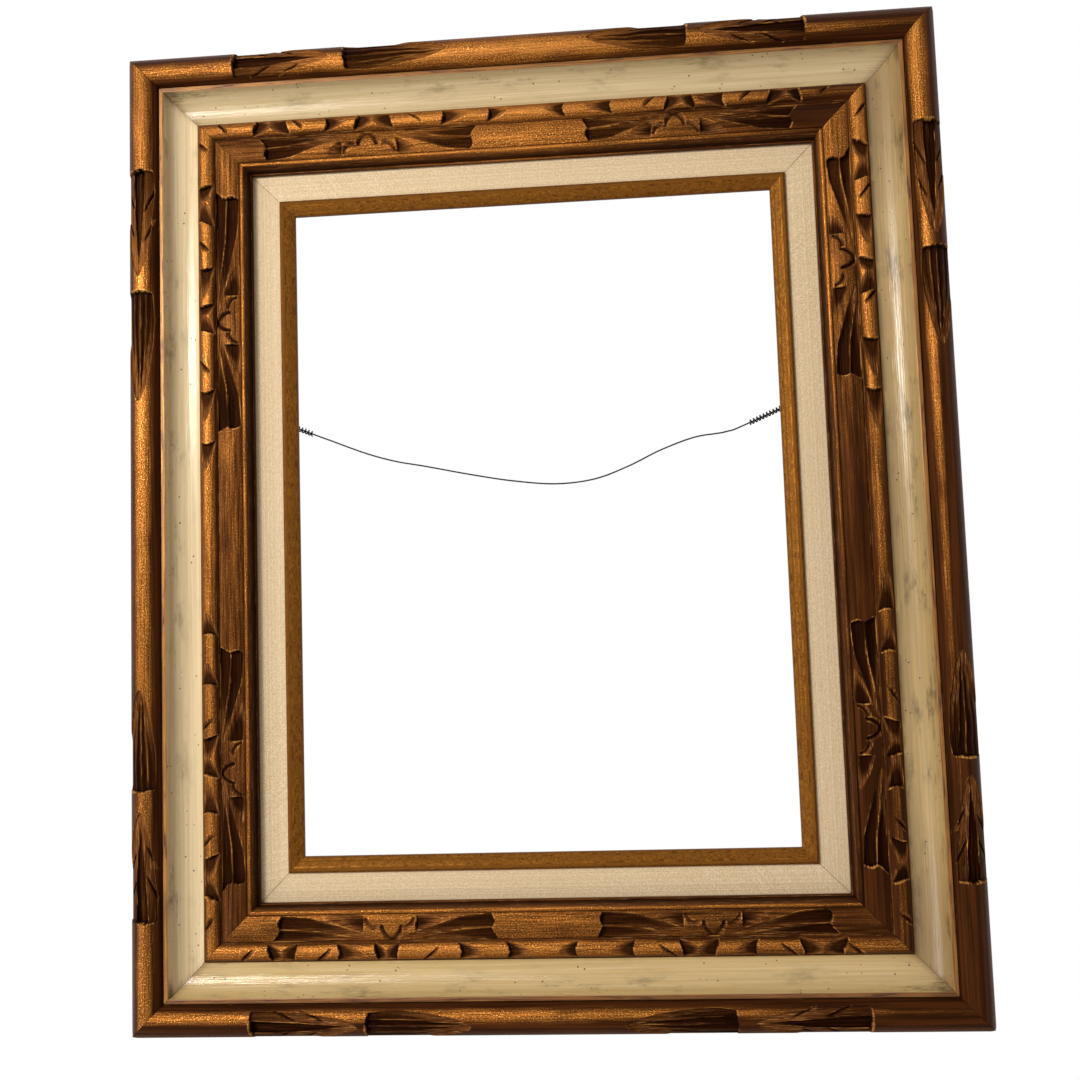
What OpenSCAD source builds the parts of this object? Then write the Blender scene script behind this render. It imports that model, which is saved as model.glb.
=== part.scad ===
// Carved picture frame with a linen liner and a hanging wire.
// Three mitred wooden frames nest in each other's rabbets: a linen covered liner with a gilded lip,
// a carved inner frame, and an outer frame with a cream cove and a carved bronze roll.
// X is the width, Z the height, and the front looks along -Y. The back of the outer frame is Y = 0.

/* [Sight opening] */
// Width of the opening that the picture is seen through
sight_w = 296; // [250:1:600]
// Height of that opening
sight_h = 396; // [330:1:700]

/* [Linen liner] */
// Width of the gilded lip round the sight opening
lip_w = 9; // [7:0.5:14]
// How far the ridge of the lip lies from the sight edge
lip_ridge_w = 7.5; // [5:0.5:8.5]
// Height of the lip at the sight edge, above the picture ledge
lip_edge_t = 3; // [2:0.5:5]
// Rise of the lip from the sight edge to its ridge
lip_rise = 3.8; // [2:0.2:5]
// Height of the lip's step above the linen
lip_step = 1.2; // [0.6:0.2:2]
// Width of linen that shows between the lip and the carved frame
linen_w = 17; // [10:1:40]
// Thickness of the linen with its glue
linen_t = 0.6; // [0.4:0.1:1]
// Width of the liner that is tucked under the carved frame
liner_tuck = 5; // [3:0.5:8]
// Width of the ledge that the picture rests on
picture_ledge_w = 6; // [4:0.5:8]
// Distance of the liner's back from the back of the frame
liner_back_h = 7.5; // [6.5:0.5:9]
// Depth of the picture rabbet in the liner
picture_rabbet_d = 3.5; // [2.5:0.5:4]
// Thickness of the liner's board under the linen
liner_board_t = 7.5; // [6:0.5:12]

/* [Carved inner frame] */
// Width of the carved frame that shows
band_w = 32.5; // [28:0.5:40]
// Width of its flange under the cream cove
band_tuck = 3.5; // [2:0.5:5]
// Distance of its back from the back of the frame
band_back_h = 4; // [3:0.5:5]
// Height of its flange
flange_t = 16.2; // [14:0.2:20]
// Thickness of its lip over the linen
band_lip_t = 2.6; // [2:0.2:4]
// Width of its lip in front of the dark wall
band_lip_w = 1; // [0.6:0.2:2]
// Width of the leaning wall between lip and bead
band_wall_w = 1.6; // [1:0.2:3]
// Radius of the gold bead
bead_r = 1.3; // [1:0.1:1.8]
// Height of the bead's centre above the lip
bead_rise = 7.3; // [6:0.1:9]
// Width of the small roll along its outer edge
small_roll_w = 11.9; // [10:0.1:14]
// Height of the small roll's centre above the flange
small_roll_rise = 3.4; // [2.6:0.2:5]
// Depth of the valley below the field's edge
valley_d = 0.6; // [0.4:0.1:1.5]
// Height of the flat field's edge above the small roll's centre
field_rise = 2.4; // [1.5:0.1:3]
// Crown of the field between the bead and the small roll
field_crown = 2; // [1:0.1:3]

/* [Outer frame] */
// Width of the cream cove
cove_w = 18.5; // [15:0.5:20]
// Radius of the cove
cove_r = 12.8; // [12:0.1:15]
// How far the lowest line of the cove lies from its inner edge
cove_low_w = 5.5; // [4:0.5:7]
// Thickness of the cove's lip over the carved frame
cove_lip_t = 2.7; // [2:0.1:4]
// Width of the gold fillet
fillet_w = 2.5; // [2:0.1:4]
// Height of the gold fillet above the cove's inner edge
fillet_rise = 10.4; // [9:0.2:12]
// Width of the outer roll
roll_w = 19.5; // [16:0.5:24]
// Depth of the roll's centre below the gold fillet
roll_sink = 3.1; // [2:0.1:5]
// Width of the quirk at each side of a roll
quirk_w = 0.25; // [0.2:0.05:0.6]

/* [Leaves on the outer roll] */
// Distance from the corner to the stop of the barbed leaf
barbed_leaf_stop = 72; // [60:1:80]
// Distance from the corner to the stop of the plain leaf
plain_leaf_stop = 144; // [138:1:150]
// Length of a leaf
leaf_l = 63; // [50:1:66]
// Depth of a leaf at its stop
leaf_d = 5.4; // [4:0.2:6.5]
// Radius of a leaf's hollow floor
leaf_floor_r = 26; // [20:1:40]
// Length of a vein
vein_l = 46; // [30:1:50]
// Width of a vein
vein_w = 2.6; // [1.5:0.1:3.5]
// Depth of a vein below the floor of its leaf
vein_d = 1.1; // [0.6:0.1:1.6]
// Length of a barb at a leaf's side
barb_l = 12; // [8:1:16]
// Width of a barb
barb_w = 3.4; // [2:0.2:5]
// Depth of a barb
barb_d = 1.7; // [1:0.1:2.4]

/* [Motif on the carved frame] */
// Distance from the corner to the motif's middle on the top and bottom
short_motif_s = 152; // [145:1:160]
// Distance from the corner to the motif's middle on the sides
long_motif_s = 162; // [155:1:170]
// Reach of the motif from its middle
motif_reach = 80; // [70:1:85]
// Share by which the motif is longer on the sides
long_motif_share = 1.12; // [1:0.01:1.2]
// Width of a thorn
thorn_w = 3.6; // [2:0.2:5]
// Depth of a thorn
thorn_d = 1.8; // [1:0.1:2.5]
// Distance from the ridge of a double bite to its stop at either side
bite_half_l = 9; // [7:0.5:10]
// Width of a bite across the small roll
bite_w = 12; // [10:0.5:14]
// Depth of a bite at its stop
bite_d = 4.2; // [3:0.2:5]
// Width of a crescent at its stop
crescent_w = 9.5; // [7:0.5:12]
// Depth of a crescent at its stop
crescent_d = 4; // [2:0.2:5]
// Width of a leaf lobe at its stop
lobe_w = 7.6; // [6:0.2:9]
// Depth of a leaf lobe at its stop
lobe_d = 4.2; // [3:0.2:5]
// Radius of the sweep of a leaf lobe
lobe_sweep_r = 125; // [90:5:200]
// Radius of the bud's arch
bud_r = 5.6; // [4:0.2:7]
// Radius of the groove round the bud
bud_groove_r = 1.5; // [1:0.1:2]
// Radius of the tongue's cusps
cusp_r = 4.2; // [3:0.2:6]
// Radius of the groove round a cusp
cusp_groove_r = 1.1; // [0.8:0.1:1.6]
// Width of a small leaf beside the tongue
small_leaf_w = 6; // [4:0.5:8]
// Depth of a small leaf at its stop
small_leaf_d = 3; // [2:0.2:4]

/* [Fasteners] */
// Length of a corrugated corner fastener
fastener_l = 22; // [16:1:26]
// Depth of a corrugated fastener in the wood
fastener_d = 10; // [6:1:12]
// Thickness of its steel
fastener_t = 0.7; // [0.5:0.1:1]
// How far it is driven below the back
fastener_sink = 0.3; // [0.2:0.1:1]
// Height of its waves
fastener_wave = 1.2; // [0.8:0.1:2]
// Length of one wave
fastener_pitch = 5.5; // [4:0.5:8]
// Diameter of the nails at the corners of the carved frame
corner_nail_dia = 1.6; // [1.2:0.1:2.2]
// Length of these nails
corner_nail_l = 32; // [25:1:40]
// Diameter of their heads
corner_nail_head_dia = 3.2; // [2.5:0.1:4]
// Thickness of their heads
corner_nail_head_t = 0.8; // [0.5:0.1:1.2]
// Diameter of the nails that hold the carved frame in the outer frame
band_nail_dia = 1.6; // [1.2:0.1:2]
// Length of these nails
band_nail_l = 18; // [12:1:22]
// Diameter of the brads that hold the liner
brad_dia = 1.2; // [0.9:0.1:1.5]
// Length of a brad
brad_l = 14; // [10:1:16]

/* [Hanging hardware] */
// Height of the screw eyes above the middle of the frame
eye_rise = 86; // [70:1:110]
// Diameter of the screw eye's wire
eye_wire_dia = 2.2; // [1.8:0.1:3]
// Inner diameter of the screw eye's ring
eye_ring_dia = 6.6; // [6.4:0.2:9]
// Length of the neck between the ring and the wood
eye_neck_l = 1.6; // [1:0.2:4]
// Length of the shank in the wood
eye_shank_l = 12; // [8:1:14]
// Diameter of the hanging wire
wire_dia = 1; // [0.8:0.1:1.2]
// Gap between the hanging wire and the turns round it
wrap_gap = 0.35; // [0.3:0.05:0.6]
// Length of one turn of the wire's end round the wire
wrap_pitch = 4.4; // [3.5:0.1:6]
// Gap between the wire's loop and the bar of the screw eye
loop_gap = 0.5; // [0.4:0.05:0.7]

/* [Hidden] */
$fn = 64;

// Running clearance between pieces that nest, and round a nail in its hole
fit_gap = 0.3;
hole_gap = 0.1;
// How far a cutting tool runs on past the end of its cut, as a share of the cut
run_out_share = 1.4;
// One overrun for every cut
over = 1;

// Widths from the sight edge outward
band_u = lip_w + linen_w;
liner_end_u = band_u + liner_tuck;
band_wall_u = band_u + band_lip_w;
bead_u = band_wall_u + band_wall_w + bead_r;
field_u = bead_u + bead_r + quirk_w;
cove_u = band_u + band_w;
band_face_u = cove_u - fit_gap;
valley_u = band_face_u - small_roll_w;
small_roll_u = band_face_u - small_roll_w / 2;
band_end_u = cove_u + band_tuck;
fillet_u = cove_u + cove_w;
roll_start_u = fillet_u + fillet_w;
frame_u = roll_start_u + roll_w;
roll_u = roll_start_u + roll_w / 2;

// Heights from the back of the outer frame forward
picture_ledge_h = liner_back_h + picture_rabbet_d;
lip_edge_h = picture_ledge_h + lip_edge_t;
lip_ridge_h = lip_edge_h + lip_rise;
liner_face_h = liner_back_h + liner_board_t;
linen_h = liner_face_h + linen_t;
lip_step_h = linen_h + lip_step;
band_ledge_h = linen_h + fit_gap;
band_lip_h = band_ledge_h + band_lip_t;
bead_h = band_lip_h + bead_rise;
flange_h = band_back_h + flange_t;
small_roll_h = flange_h + small_roll_rise;
field_h = small_roll_h + field_rise;
cove_ledge_h = flange_h + fit_gap;
cove_edge_h = cove_ledge_h + cove_lip_t;
fillet_h = cove_edge_h + fillet_rise;
roll_h = fillet_h - roll_sink;

// Radii that follow from the widths
small_roll_r = small_roll_w / 2 - quirk_w;
roll_r = roll_w / 2 - quirk_w;
field_w = valley_u - field_u;
field_r = (field_w * field_w / 4 + field_crown * field_crown) / (2 * field_crown);
frame_t = roll_h + roll_r;

half_w = sight_w / 2;
half_h = sight_h / 2;

// Leaf veins, as turns from the leaf's middle line in degrees, and barbs as shares of the leaf
vein_turns = [-7, 0, 7];
barb_shares = [0.3, 0.66];
barb_turn = 32;
barb_side_turn = 44;
leaf_slope = atan(leaf_d / leaf_l);

// Places of the motif's cuts: shares of its reach along the rail, and of the face across it
thorn_shares = [[-1.075, 0.14], [-0.49, 0.13], [0.294, 0.13]];
bite_shares = [-0.795, -0.018];
bite_across_share = 0.15;
bite_run_share = 1.25;
crescent_shares = [-0.38, 0.49, 0.83];
crescent_across_share = 0.2;
crescent_l_share = 0.21;
thorn_l_share = 0.15;
thorn_turn = -38;
crescent_turn = 16;
// Leaf lobes: place of the stop, length, and turn at the stop, for the lobe by the roll and the other
lobe_shares = [[0.83, 0.5, 0.62, -1], [0.8, 0.695, 0.72, -4]];
small_leaf_shares = [[-0.18, 0.71, 0.27, 174], [0.2, 0.71, 0.27, 6]];
bud_shares = [0.03, 0.56];
cusp_shares = [[-0.115, 0.62], [0.145, 0.62]];

// Places of fasteners, as shares of the rail or of the width that holds them
fastener_shares = [0.25, 0.64];
wave_steps = 32;
short_rail_shares = [-0.3, 0.3];
long_rail_shares = [-0.32, 0, 0.32];
corner_nail_share = 0.5;
corner_nail_h = band_back_h + flange_t / 2;
nail_point_share = 0.15;
nail_grip_share = 0.5;
blunt_share = 0.25;

// Screw eyes and wire. Both eyes stand in the middle of the carved frame's back
eye_u = (liner_end_u + fit_gap + band_end_u) / 2;
eye_x = half_w + eye_u;
eye_bar_r = eye_wire_dia / 2;
eye_ring_r = eye_ring_dia / 2 + eye_bar_r;
eye_y = -band_back_h + eye_neck_l + eye_ring_r + eye_bar_r;
eye_point_share = 0.3;
loop_r = eye_bar_r + loop_gap + wire_dia / 2;
loop_z = eye_rise - eye_ring_r;
wire_sides = 8;
wrap_sides = 6;
loop_rings = 24;
curl_rings = 8;
wrap_r = wire_dia + wrap_gap;
settle_l = 3 * wrap_pitch;
wire_rings = 74;
self_gap_from = 4;
wire_seam_way = [0, 1, 0];
wrap_seam_way = [0, 1, 0.2];
// Points that the wire passes between its two wrapped ends, as X and Z
route = [
    [-143, 62], [-132, 57.5], [-110, 48.5], [-91, 42.5], [-72, 38.5], [-43, 32], [-17, 27], [10, 24],
    [34, 26], [55, 33], [76, 42.5], [97, 49.5], [116, 52], [131, 57]
];

// Turns a section drawn as width and height into a rail whose run lies along X
module run_along_x(run) {
    rotate([0, -90, 180])
        translate([0, 0, -run / 2])
            linear_extrude(run)
                children();
}

// One mitred rail at the top: children give its section, from inner_u to outer_u
module mitred_rail(span, run, inner_u, outer_u) {
    near = inner_u - over;
    far = outer_u + over;
    intersection() {
        translate([0, 0, span])
            run_along_x(2 * (run + far))
                children();
        translate([0, over, 0])
            rotate([90, 0, 0])
                linear_extrude(frame_t + 2 * over)
                    polygon([
                        [-run - near, span + near], [run + near, span + near],
                        [run + far, span + far], [-run - far, span + far]
                    ]);
    }
}

// Both halves of a rail, drawn from the corner inward: X along the rail, Y outward, Z forward
module both_halves(span, run) {
    for (side = [0, 1])
        mirror([side, 0, 0])
            translate([-run - frame_u, 0, span])
                rotate([90, 0, 0])
                    children();
}

// Places what is drawn for the top on the side that a turn names
module on_side(turn) {
    rotate([0, turn, 0])
        children();
}

// A gouge cut: deep at its stop, running out at its tip along X
module gouge(length, width, depth) {
    floor_r = (width * width / 4 + depth * depth) / (2 * depth);
    slope = atan(depth / length);
    translate([0, 0, floor_r - depth])
        rotate([0, 90 - slope, 0])
            cylinder(r = floor_r, h = length * run_out_share);
}

// A V cut: deep at its stop, running out at its tip along X
module v_cut(length, width, depth) {
    rotate([0, -atan(depth / length), 0])
        translate([0, 0, -depth])
            rotate([90, 0, 90])
                linear_extrude(length * run_out_share)
                    polygon([[0, 0], [width, 2 * depth], [-width, 2 * depth]]);
}

// A gouge cut that sweeps to one side as it runs out
module swept_gouge(length, width, depth, sweep_r) {
    floor_r = (width * width / 4 + depth * depth) / (2 * depth);
    slope = atan(depth / length);
    rotate([0, -slope, 0])
        translate([0, sweep_r, floor_r - depth])
            rotate([0, 0, -90])
                rotate_extrude(angle = length / sweep_r * 180 / PI)
                    translate([sweep_r, 0])
                        circle(r = floor_r);
}

// A V cut that a chisel rocks through the surface, pointed at both ends, along X
module rocked_cut(length, width, depth) {
    wheel_r = (length * length / 4 + depth * depth) / (2 * depth);
    rim_w = 3 * width / 2;
    translate([0, 0, wheel_r - depth])
        rotate([90, 0, 0])
            rotate_extrude()
                polygon([[wheel_r - 3 * depth, -rim_w], [wheel_r, 0], [wheel_r - 3 * depth, rim_w]]);
}

// Sections, as width from the sight edge and height from the back
module outer_section() {
    difference() {
        polygon([
            [band_end_u + fit_gap, 0], [frame_u, 0], [frame_u, roll_h], [roll_start_u, roll_h],
            [roll_start_u, fillet_h], [cove_u, fillet_h], [cove_u, cove_ledge_h],
            [band_end_u + fit_gap, cove_ledge_h]
        ]);
        translate([cove_u + cove_low_w, cove_edge_h + sqrt(cove_r * cove_r - cove_low_w * cove_low_w)])
            circle(r = cove_r);
    }
    translate([roll_u, roll_h])
        circle(r = roll_r);
}

module carved_section() {
    polygon([
        [liner_end_u + fit_gap, band_back_h], [band_end_u, band_back_h], [band_end_u, flange_h],
        [band_face_u, flange_h], [band_face_u, small_roll_h], [small_roll_u, small_roll_h],
        [small_roll_u, field_h - valley_d], [valley_u, field_h - valley_d], [valley_u, field_h],
        [field_u, field_h], [field_u, bead_h], [bead_u - bead_r, bead_h], [band_wall_u, band_lip_h],
        [band_u, band_lip_h], [band_u, band_ledge_h], [liner_end_u + fit_gap, band_ledge_h]
    ]);
    translate([bead_u, bead_h])
        circle(r = bead_r);
    translate([small_roll_u, small_roll_h])
        circle(r = small_roll_r);
    intersection() {
        translate([(field_u + valley_u) / 2, field_h + field_crown - field_r])
            circle(r = field_r);
        translate([field_u, field_h - valley_d])
            square([field_w, field_r]);
    }
}

module liner_section() {
    polygon([
        [0, picture_ledge_h], [picture_ledge_w, picture_ledge_h], [picture_ledge_w, liner_back_h],
        [liner_end_u, liner_back_h], [liner_end_u, liner_face_h], [lip_w, liner_face_h],
        [lip_w, lip_step_h], [lip_ridge_w, lip_ridge_h], [0, lip_edge_h]
    ]);
}

module linen_section() {
    translate([lip_w, liner_face_h])
        square([liner_end_u - lip_w, linen_t]);
}

// Leaves on one half of the outer roll
module leaf_floor(stop) {
    translate([stop, roll_u, frame_t - leaf_d + leaf_floor_r])
        rotate([0, 90 - leaf_slope, 0])
            cylinder(r = leaf_floor_r, h = leaf_l * run_out_share);
    for (turn = vein_turns)
        translate([stop, roll_u, frame_t - leaf_d])
            rotate([0, -leaf_slope, turn])
                v_cut(vein_l, vein_w, vein_d);
}

module leaf_barbs(stop) {
    for (share = barb_shares, side = [-1, 1])
        translate([stop + share * leaf_l, roll_u, roll_h])
            rotate([-side * barb_side_turn, 0, 0])
                translate([0, 0, roll_r])
                    rotate([0, 0, -side * barb_turn])
                        rocked_cut(barb_l, barb_w, barb_d);
}

module roll_carving() {
    leaf_floor(barbed_leaf_stop);
    leaf_barbs(barbed_leaf_stop);
    leaf_floor(plain_leaf_stop);
}

// The motif on one half of a carved rail, drawn from its middle: X along the rail, Y outward
module motif(reach) {
    for (place = thorn_shares)
        translate([place[0] * reach, cove_u - place[1] * band_w, small_roll_h + small_roll_r])
            rotate([0, 0, thorn_turn])
                rocked_cut(thorn_l_share * reach, thorn_w, thorn_d);
    for (share = bite_shares, side = [0, 1])
        translate([share * reach, cove_u - bite_across_share * band_w, small_roll_h + small_roll_r])
            mirror([side, 0, 0])
                translate([-bite_half_l, 0, 0])
                    gouge(bite_run_share * bite_half_l, bite_w, bite_d);
    for (share = crescent_shares)
        translate([share * reach, cove_u - crescent_across_share * band_w, small_roll_h + small_roll_r])
            rotate([0, 0, crescent_turn])
                gouge(crescent_l_share * reach, crescent_w, crescent_d);
    // The lobes stay within the field between the bead and the small roll
    intersection() {
        for (side = [-1, 1], lobe = lobe_shares)
            translate([side * lobe[0] * reach, cove_u - lobe[1] * band_w, field_h + field_crown])
                mirror([(1 + side) / 2, 0, 0])
                    rotate([0, 0, lobe[3]])
                        swept_gouge(lobe[2] * reach, lobe_w, lobe_d, lobe_sweep_r);
        translate([-reach, field_u, flange_h])
            cube([2 * reach, field_w + quirk_w, frame_t]);
    }
    for (leaf = small_leaf_shares)
        translate([leaf[0] * reach, cove_u - leaf[1] * band_w, field_h + field_crown])
            rotate([0, 0, leaf[3]])
                gouge(leaf[2] * reach, small_leaf_w, small_leaf_d);
    arch_groove(bud_shares, reach, bud_r, bud_groove_r);
    for (place = cusp_shares)
        arch_groove(place, reach, cusp_r, cusp_groove_r);
}

module arch_groove(place, reach, radius, groove_r) {
    translate([place[0] * reach, cove_u - place[1] * band_w, field_h + field_crown])
        rotate_extrude(angle = 180)
            translate([radius, 0])
                circle(r = groove_r);
}

// Rails
module outer_rail(turn, span, run) {
    color("#7a4a1f")
        difference() {
            on_side(turn)
                mitred_rail(span, run, cove_u, frame_u)
                    outer_section();
            on_side(turn)
                both_halves(span, run)
                    roll_carving();
            fastener_set(hole_gap);
            carved_frame_nail_set(hole_gap);
        }
}

module carved_rail(turn, span, run, motif_s, reach) {
    color("#8a5a2b")
        difference() {
            on_side(turn)
                mitred_rail(span, run, band_u, band_end_u)
                    carved_section();
            on_side(turn)
                both_halves(span, run)
                    translate([motif_s, 0, 0])
                        motif(reach);
            corner_nail_set(hole_gap);
            brad_set(hole_gap);
            eye_hole_set();
        }
}

module liner_rail(turn, span, run) {
    color("#8f6432")
        on_side(turn)
            mitred_rail(span, run, 0, liner_end_u)
                liner_section();
}

module linen(turn, span, run) {
    color("#b9a988")
        on_side(turn)
            mitred_rail(span, run, lip_w, liner_end_u)
                linen_section();
}

// Outline of a corrugated strip, thickened by a gap all round
function wave(x) = fastener_wave / 2 * sin(360 * x / fastener_pitch);

module corrugated_strip(gap) {
    length = fastener_l + 2 * gap;
    half_t = fastener_t / 2 + gap;
    xs = [for (i = [0:wave_steps]) length * (i / wave_steps - 1 / 2)];
    polygon(concat(
        [for (i = [0:wave_steps]) [xs[i], wave(xs[i]) - half_t]],
        [for (i = [wave_steps:-1:0]) [xs[i], wave(xs[i]) + half_t]]
    ));
}

module fastener_set(gap) {
    start_u = band_end_u + fit_gap;
    for (sx = [-1, 1], sz = [-1, 1], share = fastener_shares) {
        u = start_u + share * (frame_u - start_u);
        mouth = gap > 0 ? over : -fastener_sink;
        translate([sx * (half_w + u), mouth, sz * (half_h + u)])
            rotate([90, sx * sz * 45, 0])
                linear_extrude(mouth + fastener_sink + fastener_d + gap)
                    corrugated_strip(gap);
    }
}

// A nail along X from its head or blunt end to its point, thickened by a gap all round
module nail(length, dia, gap) {
    point_l = nail_point_share * length;
    rotate([0, 90, 0]) {
        translate([0, 0, -gap])
            cylinder(d = dia + 2 * gap, h = length - point_l + gap);
        translate([0, 0, length - point_l])
            cylinder(d1 = dia + 2 * gap, d2 = blunt_share * dia + 2 * gap, h = point_l + gap);
    }
}

// Nails along a rail, lying behind a back at back_h with their points in the wall at wall_u
module nail_row(shares, span, run, wall_u, back_h, length, dia, gap) {
    for (share = shares)
        translate([
            2 * share * run, -back_h + dia / 2 + hole_gap, span + wall_u - length * nail_grip_share
        ])
            rotate([0, -90, 0])
                nail(length, dia, gap);
}

module four_nail_rows(wall_u, back_h, length, dia, gap) {
    for (turn = [0, 180])
        on_side(turn)
            nail_row(short_rail_shares, half_h, half_w, wall_u, back_h, length, dia, gap);
    for (turn = [90, 270])
        on_side(turn)
            nail_row(long_rail_shares, half_w, half_h, wall_u, back_h, length, dia, gap);
}

module carved_frame_nail_set(gap) {
    four_nail_rows(band_end_u + fit_gap, band_back_h, band_nail_l, band_nail_dia, gap);
}

module brad_set(gap) {
    four_nail_rows(liner_end_u + fit_gap, liner_back_h, brad_l, brad_dia, gap);
}

module corner_nail_set(gap) {
    start_u = liner_end_u + fit_gap;
    nail_u = start_u + corner_nail_share * (band_end_u - start_u);
    for (sx = [0, 1], sz = [-1, 1])
        mirror([sx, 0, 0])
            translate([half_w + band_end_u, -corner_nail_h, sz * (half_h + nail_u)])
                rotate([0, 180, 0]) {
                    nail(corner_nail_l, corner_nail_dia, gap);
                    translate([-gap, 0, 0])
                        rotate([0, 90, 0])
                            cylinder(d = corner_nail_head_dia + 2 * gap, h = corner_nail_head_t + 2 * gap);
                }
}

// Screw eye: its ring lies in the YZ plane, and its shank runs forward into the wood
module shank(gap) {
    point_l = eye_point_share * eye_shank_l;
    translate([0, -band_back_h, 0])
        rotate([90, 0, 0]) {
            translate([0, 0, -gap])
                cylinder(d = eye_wire_dia + 2 * gap, h = eye_shank_l - point_l + gap);
            translate([0, 0, eye_shank_l - point_l])
                cylinder(
                    d1 = eye_wire_dia + 2 * gap, d2 = blunt_share * eye_wire_dia + 2 * gap, h = point_l + gap
                );
        }
}

module eye_hole_set() {
    for (side = [-1, 1])
        translate([side * eye_x, 0, eye_rise])
            shank(hole_gap);
}

module screw_eye(side) {
    color("#8e8a80")
        translate([side * eye_x, 0, eye_rise]) {
            translate([0, eye_y, 0])
                rotate([0, 90, 0])
                    rotate_extrude()
                        translate([eye_ring_r, 0])
                            circle(r = eye_bar_r);
            translate([0, eye_y - eye_ring_r, 0])
                rotate([90, 0, 0])
                    cylinder(d = eye_wire_dia, h = eye_neck_l + eye_bar_r);
            shank(0);
        }
}

// Wire geometry in the XZ plane through both screw eyes
function unit(v) = v / norm(v);
function tangent_turn(side) =
    let (end = side < 0 ? route[0] : route[len(route) - 1],
         away = [abs(end[0]) - eye_x, end[1] - loop_z])
    atan2(away[1], -away[0]) - asin(loop_r / norm(away));
function loop_start(side) =
    let (turn = tangent_turn(side))
    [side * (eye_x + loop_r * sin(turn)), loop_z + loop_r * cos(turn)];
function blend_point(a, b, c, d, t) =
    0.5 * (2 * b + (c - a) * t + (2 * a - 5 * b + 4 * c - d) * t * t + (3 * b - a - 3 * c + d) * t * t * t);
function mirrored_end(a, b) = 2 * a - b;
function spline(points, rings) =
    let (n = len(points),
         whole = concat([mirrored_end(points[0], points[1])], points,
                        [mirrored_end(points[n - 1], points[n - 2])]))
    [for (i = [0:rings])
        let (place = i * (n - 1) / rings,
             k = min(floor(place), n - 2))
        blend_point(whole[k], whole[k + 1], whole[k + 2], whole[k + 3], place - k)];
// Length of a path up to each of its points, and its least gap to itself between parts well apart along it
function lengths_along(points) = [
    for (i = 0, sum = 0; i < len(points);
         i = i + 1, sum = i < len(points) ? sum + norm(points[i] - points[i - 1]) : sum)
    sum
];
function least_gap(points) =
    let (along = lengths_along(points),
         last = len(points) - 1)
    min([
        for (i = [0:last], j = [i:last])
            if (along[j] - along[i] > self_gap_from * wire_dia) norm(points[j] - points[i])
    ]) - wire_dia;
function in_space(point) = [point[0], eye_y, point[1]];

// Skin of a round tube along points: each ring faces along the path, with its seam held towards one side
function ring_at(points, i, radius, sides, side_way) =
    let (last = len(points) - 1,
         along = unit(points[min(i + 1, last)] - points[max(i - 1, 0)]),
         across = unit(cross(along, side_way)),
         up = cross(across, along))
    [for (k = [0:sides - 1])
        points[i] + radius * (cos(360 * k / sides) * across + sin(360 * k / sides) * up)];

module tube(points, radius, sides, side_way) {
    rings = len(points);
    end = (rings - 1) * sides;
    skin = [for (i = [0:rings - 1]) each ring_at(points, i, radius, sides, side_way)];
    walls = [
        for (i = [0:rings - 2], k = [0:sides - 1])
            let (a = i * sides + k, b = i * sides + (k + 1) % sides)
            each [[a, a + sides, b], [b, a + sides, b + sides]]
    ];
    polyhedron(
        points = skin,
        faces = concat(
            walls,
            [for (k = [1:sides - 2]) [0, k, k + 1]],
            [for (k = [1:sides - 2]) [end, end + k + 1, end + k]]
        )
    );
}

wire_route = concat([loop_start(-1)], route, [loop_start(1)]);
wire_points = [for (p = spline(wire_route, wire_rings)) in_space(p)];

module hanging_wire() {
    echo("hanging wire", length = lengths_along(wire_points)[wire_rings]);
    color("#3a3532")
        tube(wire_points, wire_dia / 2, wire_sides, wire_seam_way);
}

// One wrapped end: the loop round the eye's bar, then the turns round the wire as far as the route's end
function wrap_points(side) =
    let (turn = tangent_turn(side),
         start = loop_start(side),
         end = side < 0 ? route[0] : route[len(route) - 1],
         run = norm(end - start),
         along = unit(end - start),
         centre = [side * eye_x, loop_z],
         loop = [for (i = [0:loop_rings])
            let (a = 180 * i / loop_rings)
            in_space(centre + loop_r * (cos(a) * (start - centre) / loop_r - sin(a) * along))],
         tail_l = run - settle_l,
         turns = floor(tail_l / wrap_pitch),
         rings = turns * curl_rings,
         settle = [for (i = [1:curl_rings])
            let (t = i / (curl_rings + 1),
                 ease = t * t * (3 - 2 * t),
                 drop = 2 * loop_r + (wrap_r - 2 * loop_r) * ease)
            in_space(start + along * settle_l * t - (start - centre) / loop_r * drop)],
         curls = [for (i = [0:rings])
            let (a = 360 * i / curl_rings,
                 s = settle_l + i / curl_rings * wrap_pitch)
            in_space(start + along * s - (start - centre) / loop_r * wrap_r * cos(a))
                + [0, wrap_r * sin(a), 0]])
    concat(loop, settle, curls);

module wire_wrap(side) {
    points = wrap_points(side);
    echo(str("wire wrap ", side < 0 ? "left" : "right"), length = lengths_along(points)[len(points) - 1],
         least_gap = least_gap(points));
    color("#3a3532")
        tube(points, wire_dia / 2, wrap_sides, wrap_seam_way);
}

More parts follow.
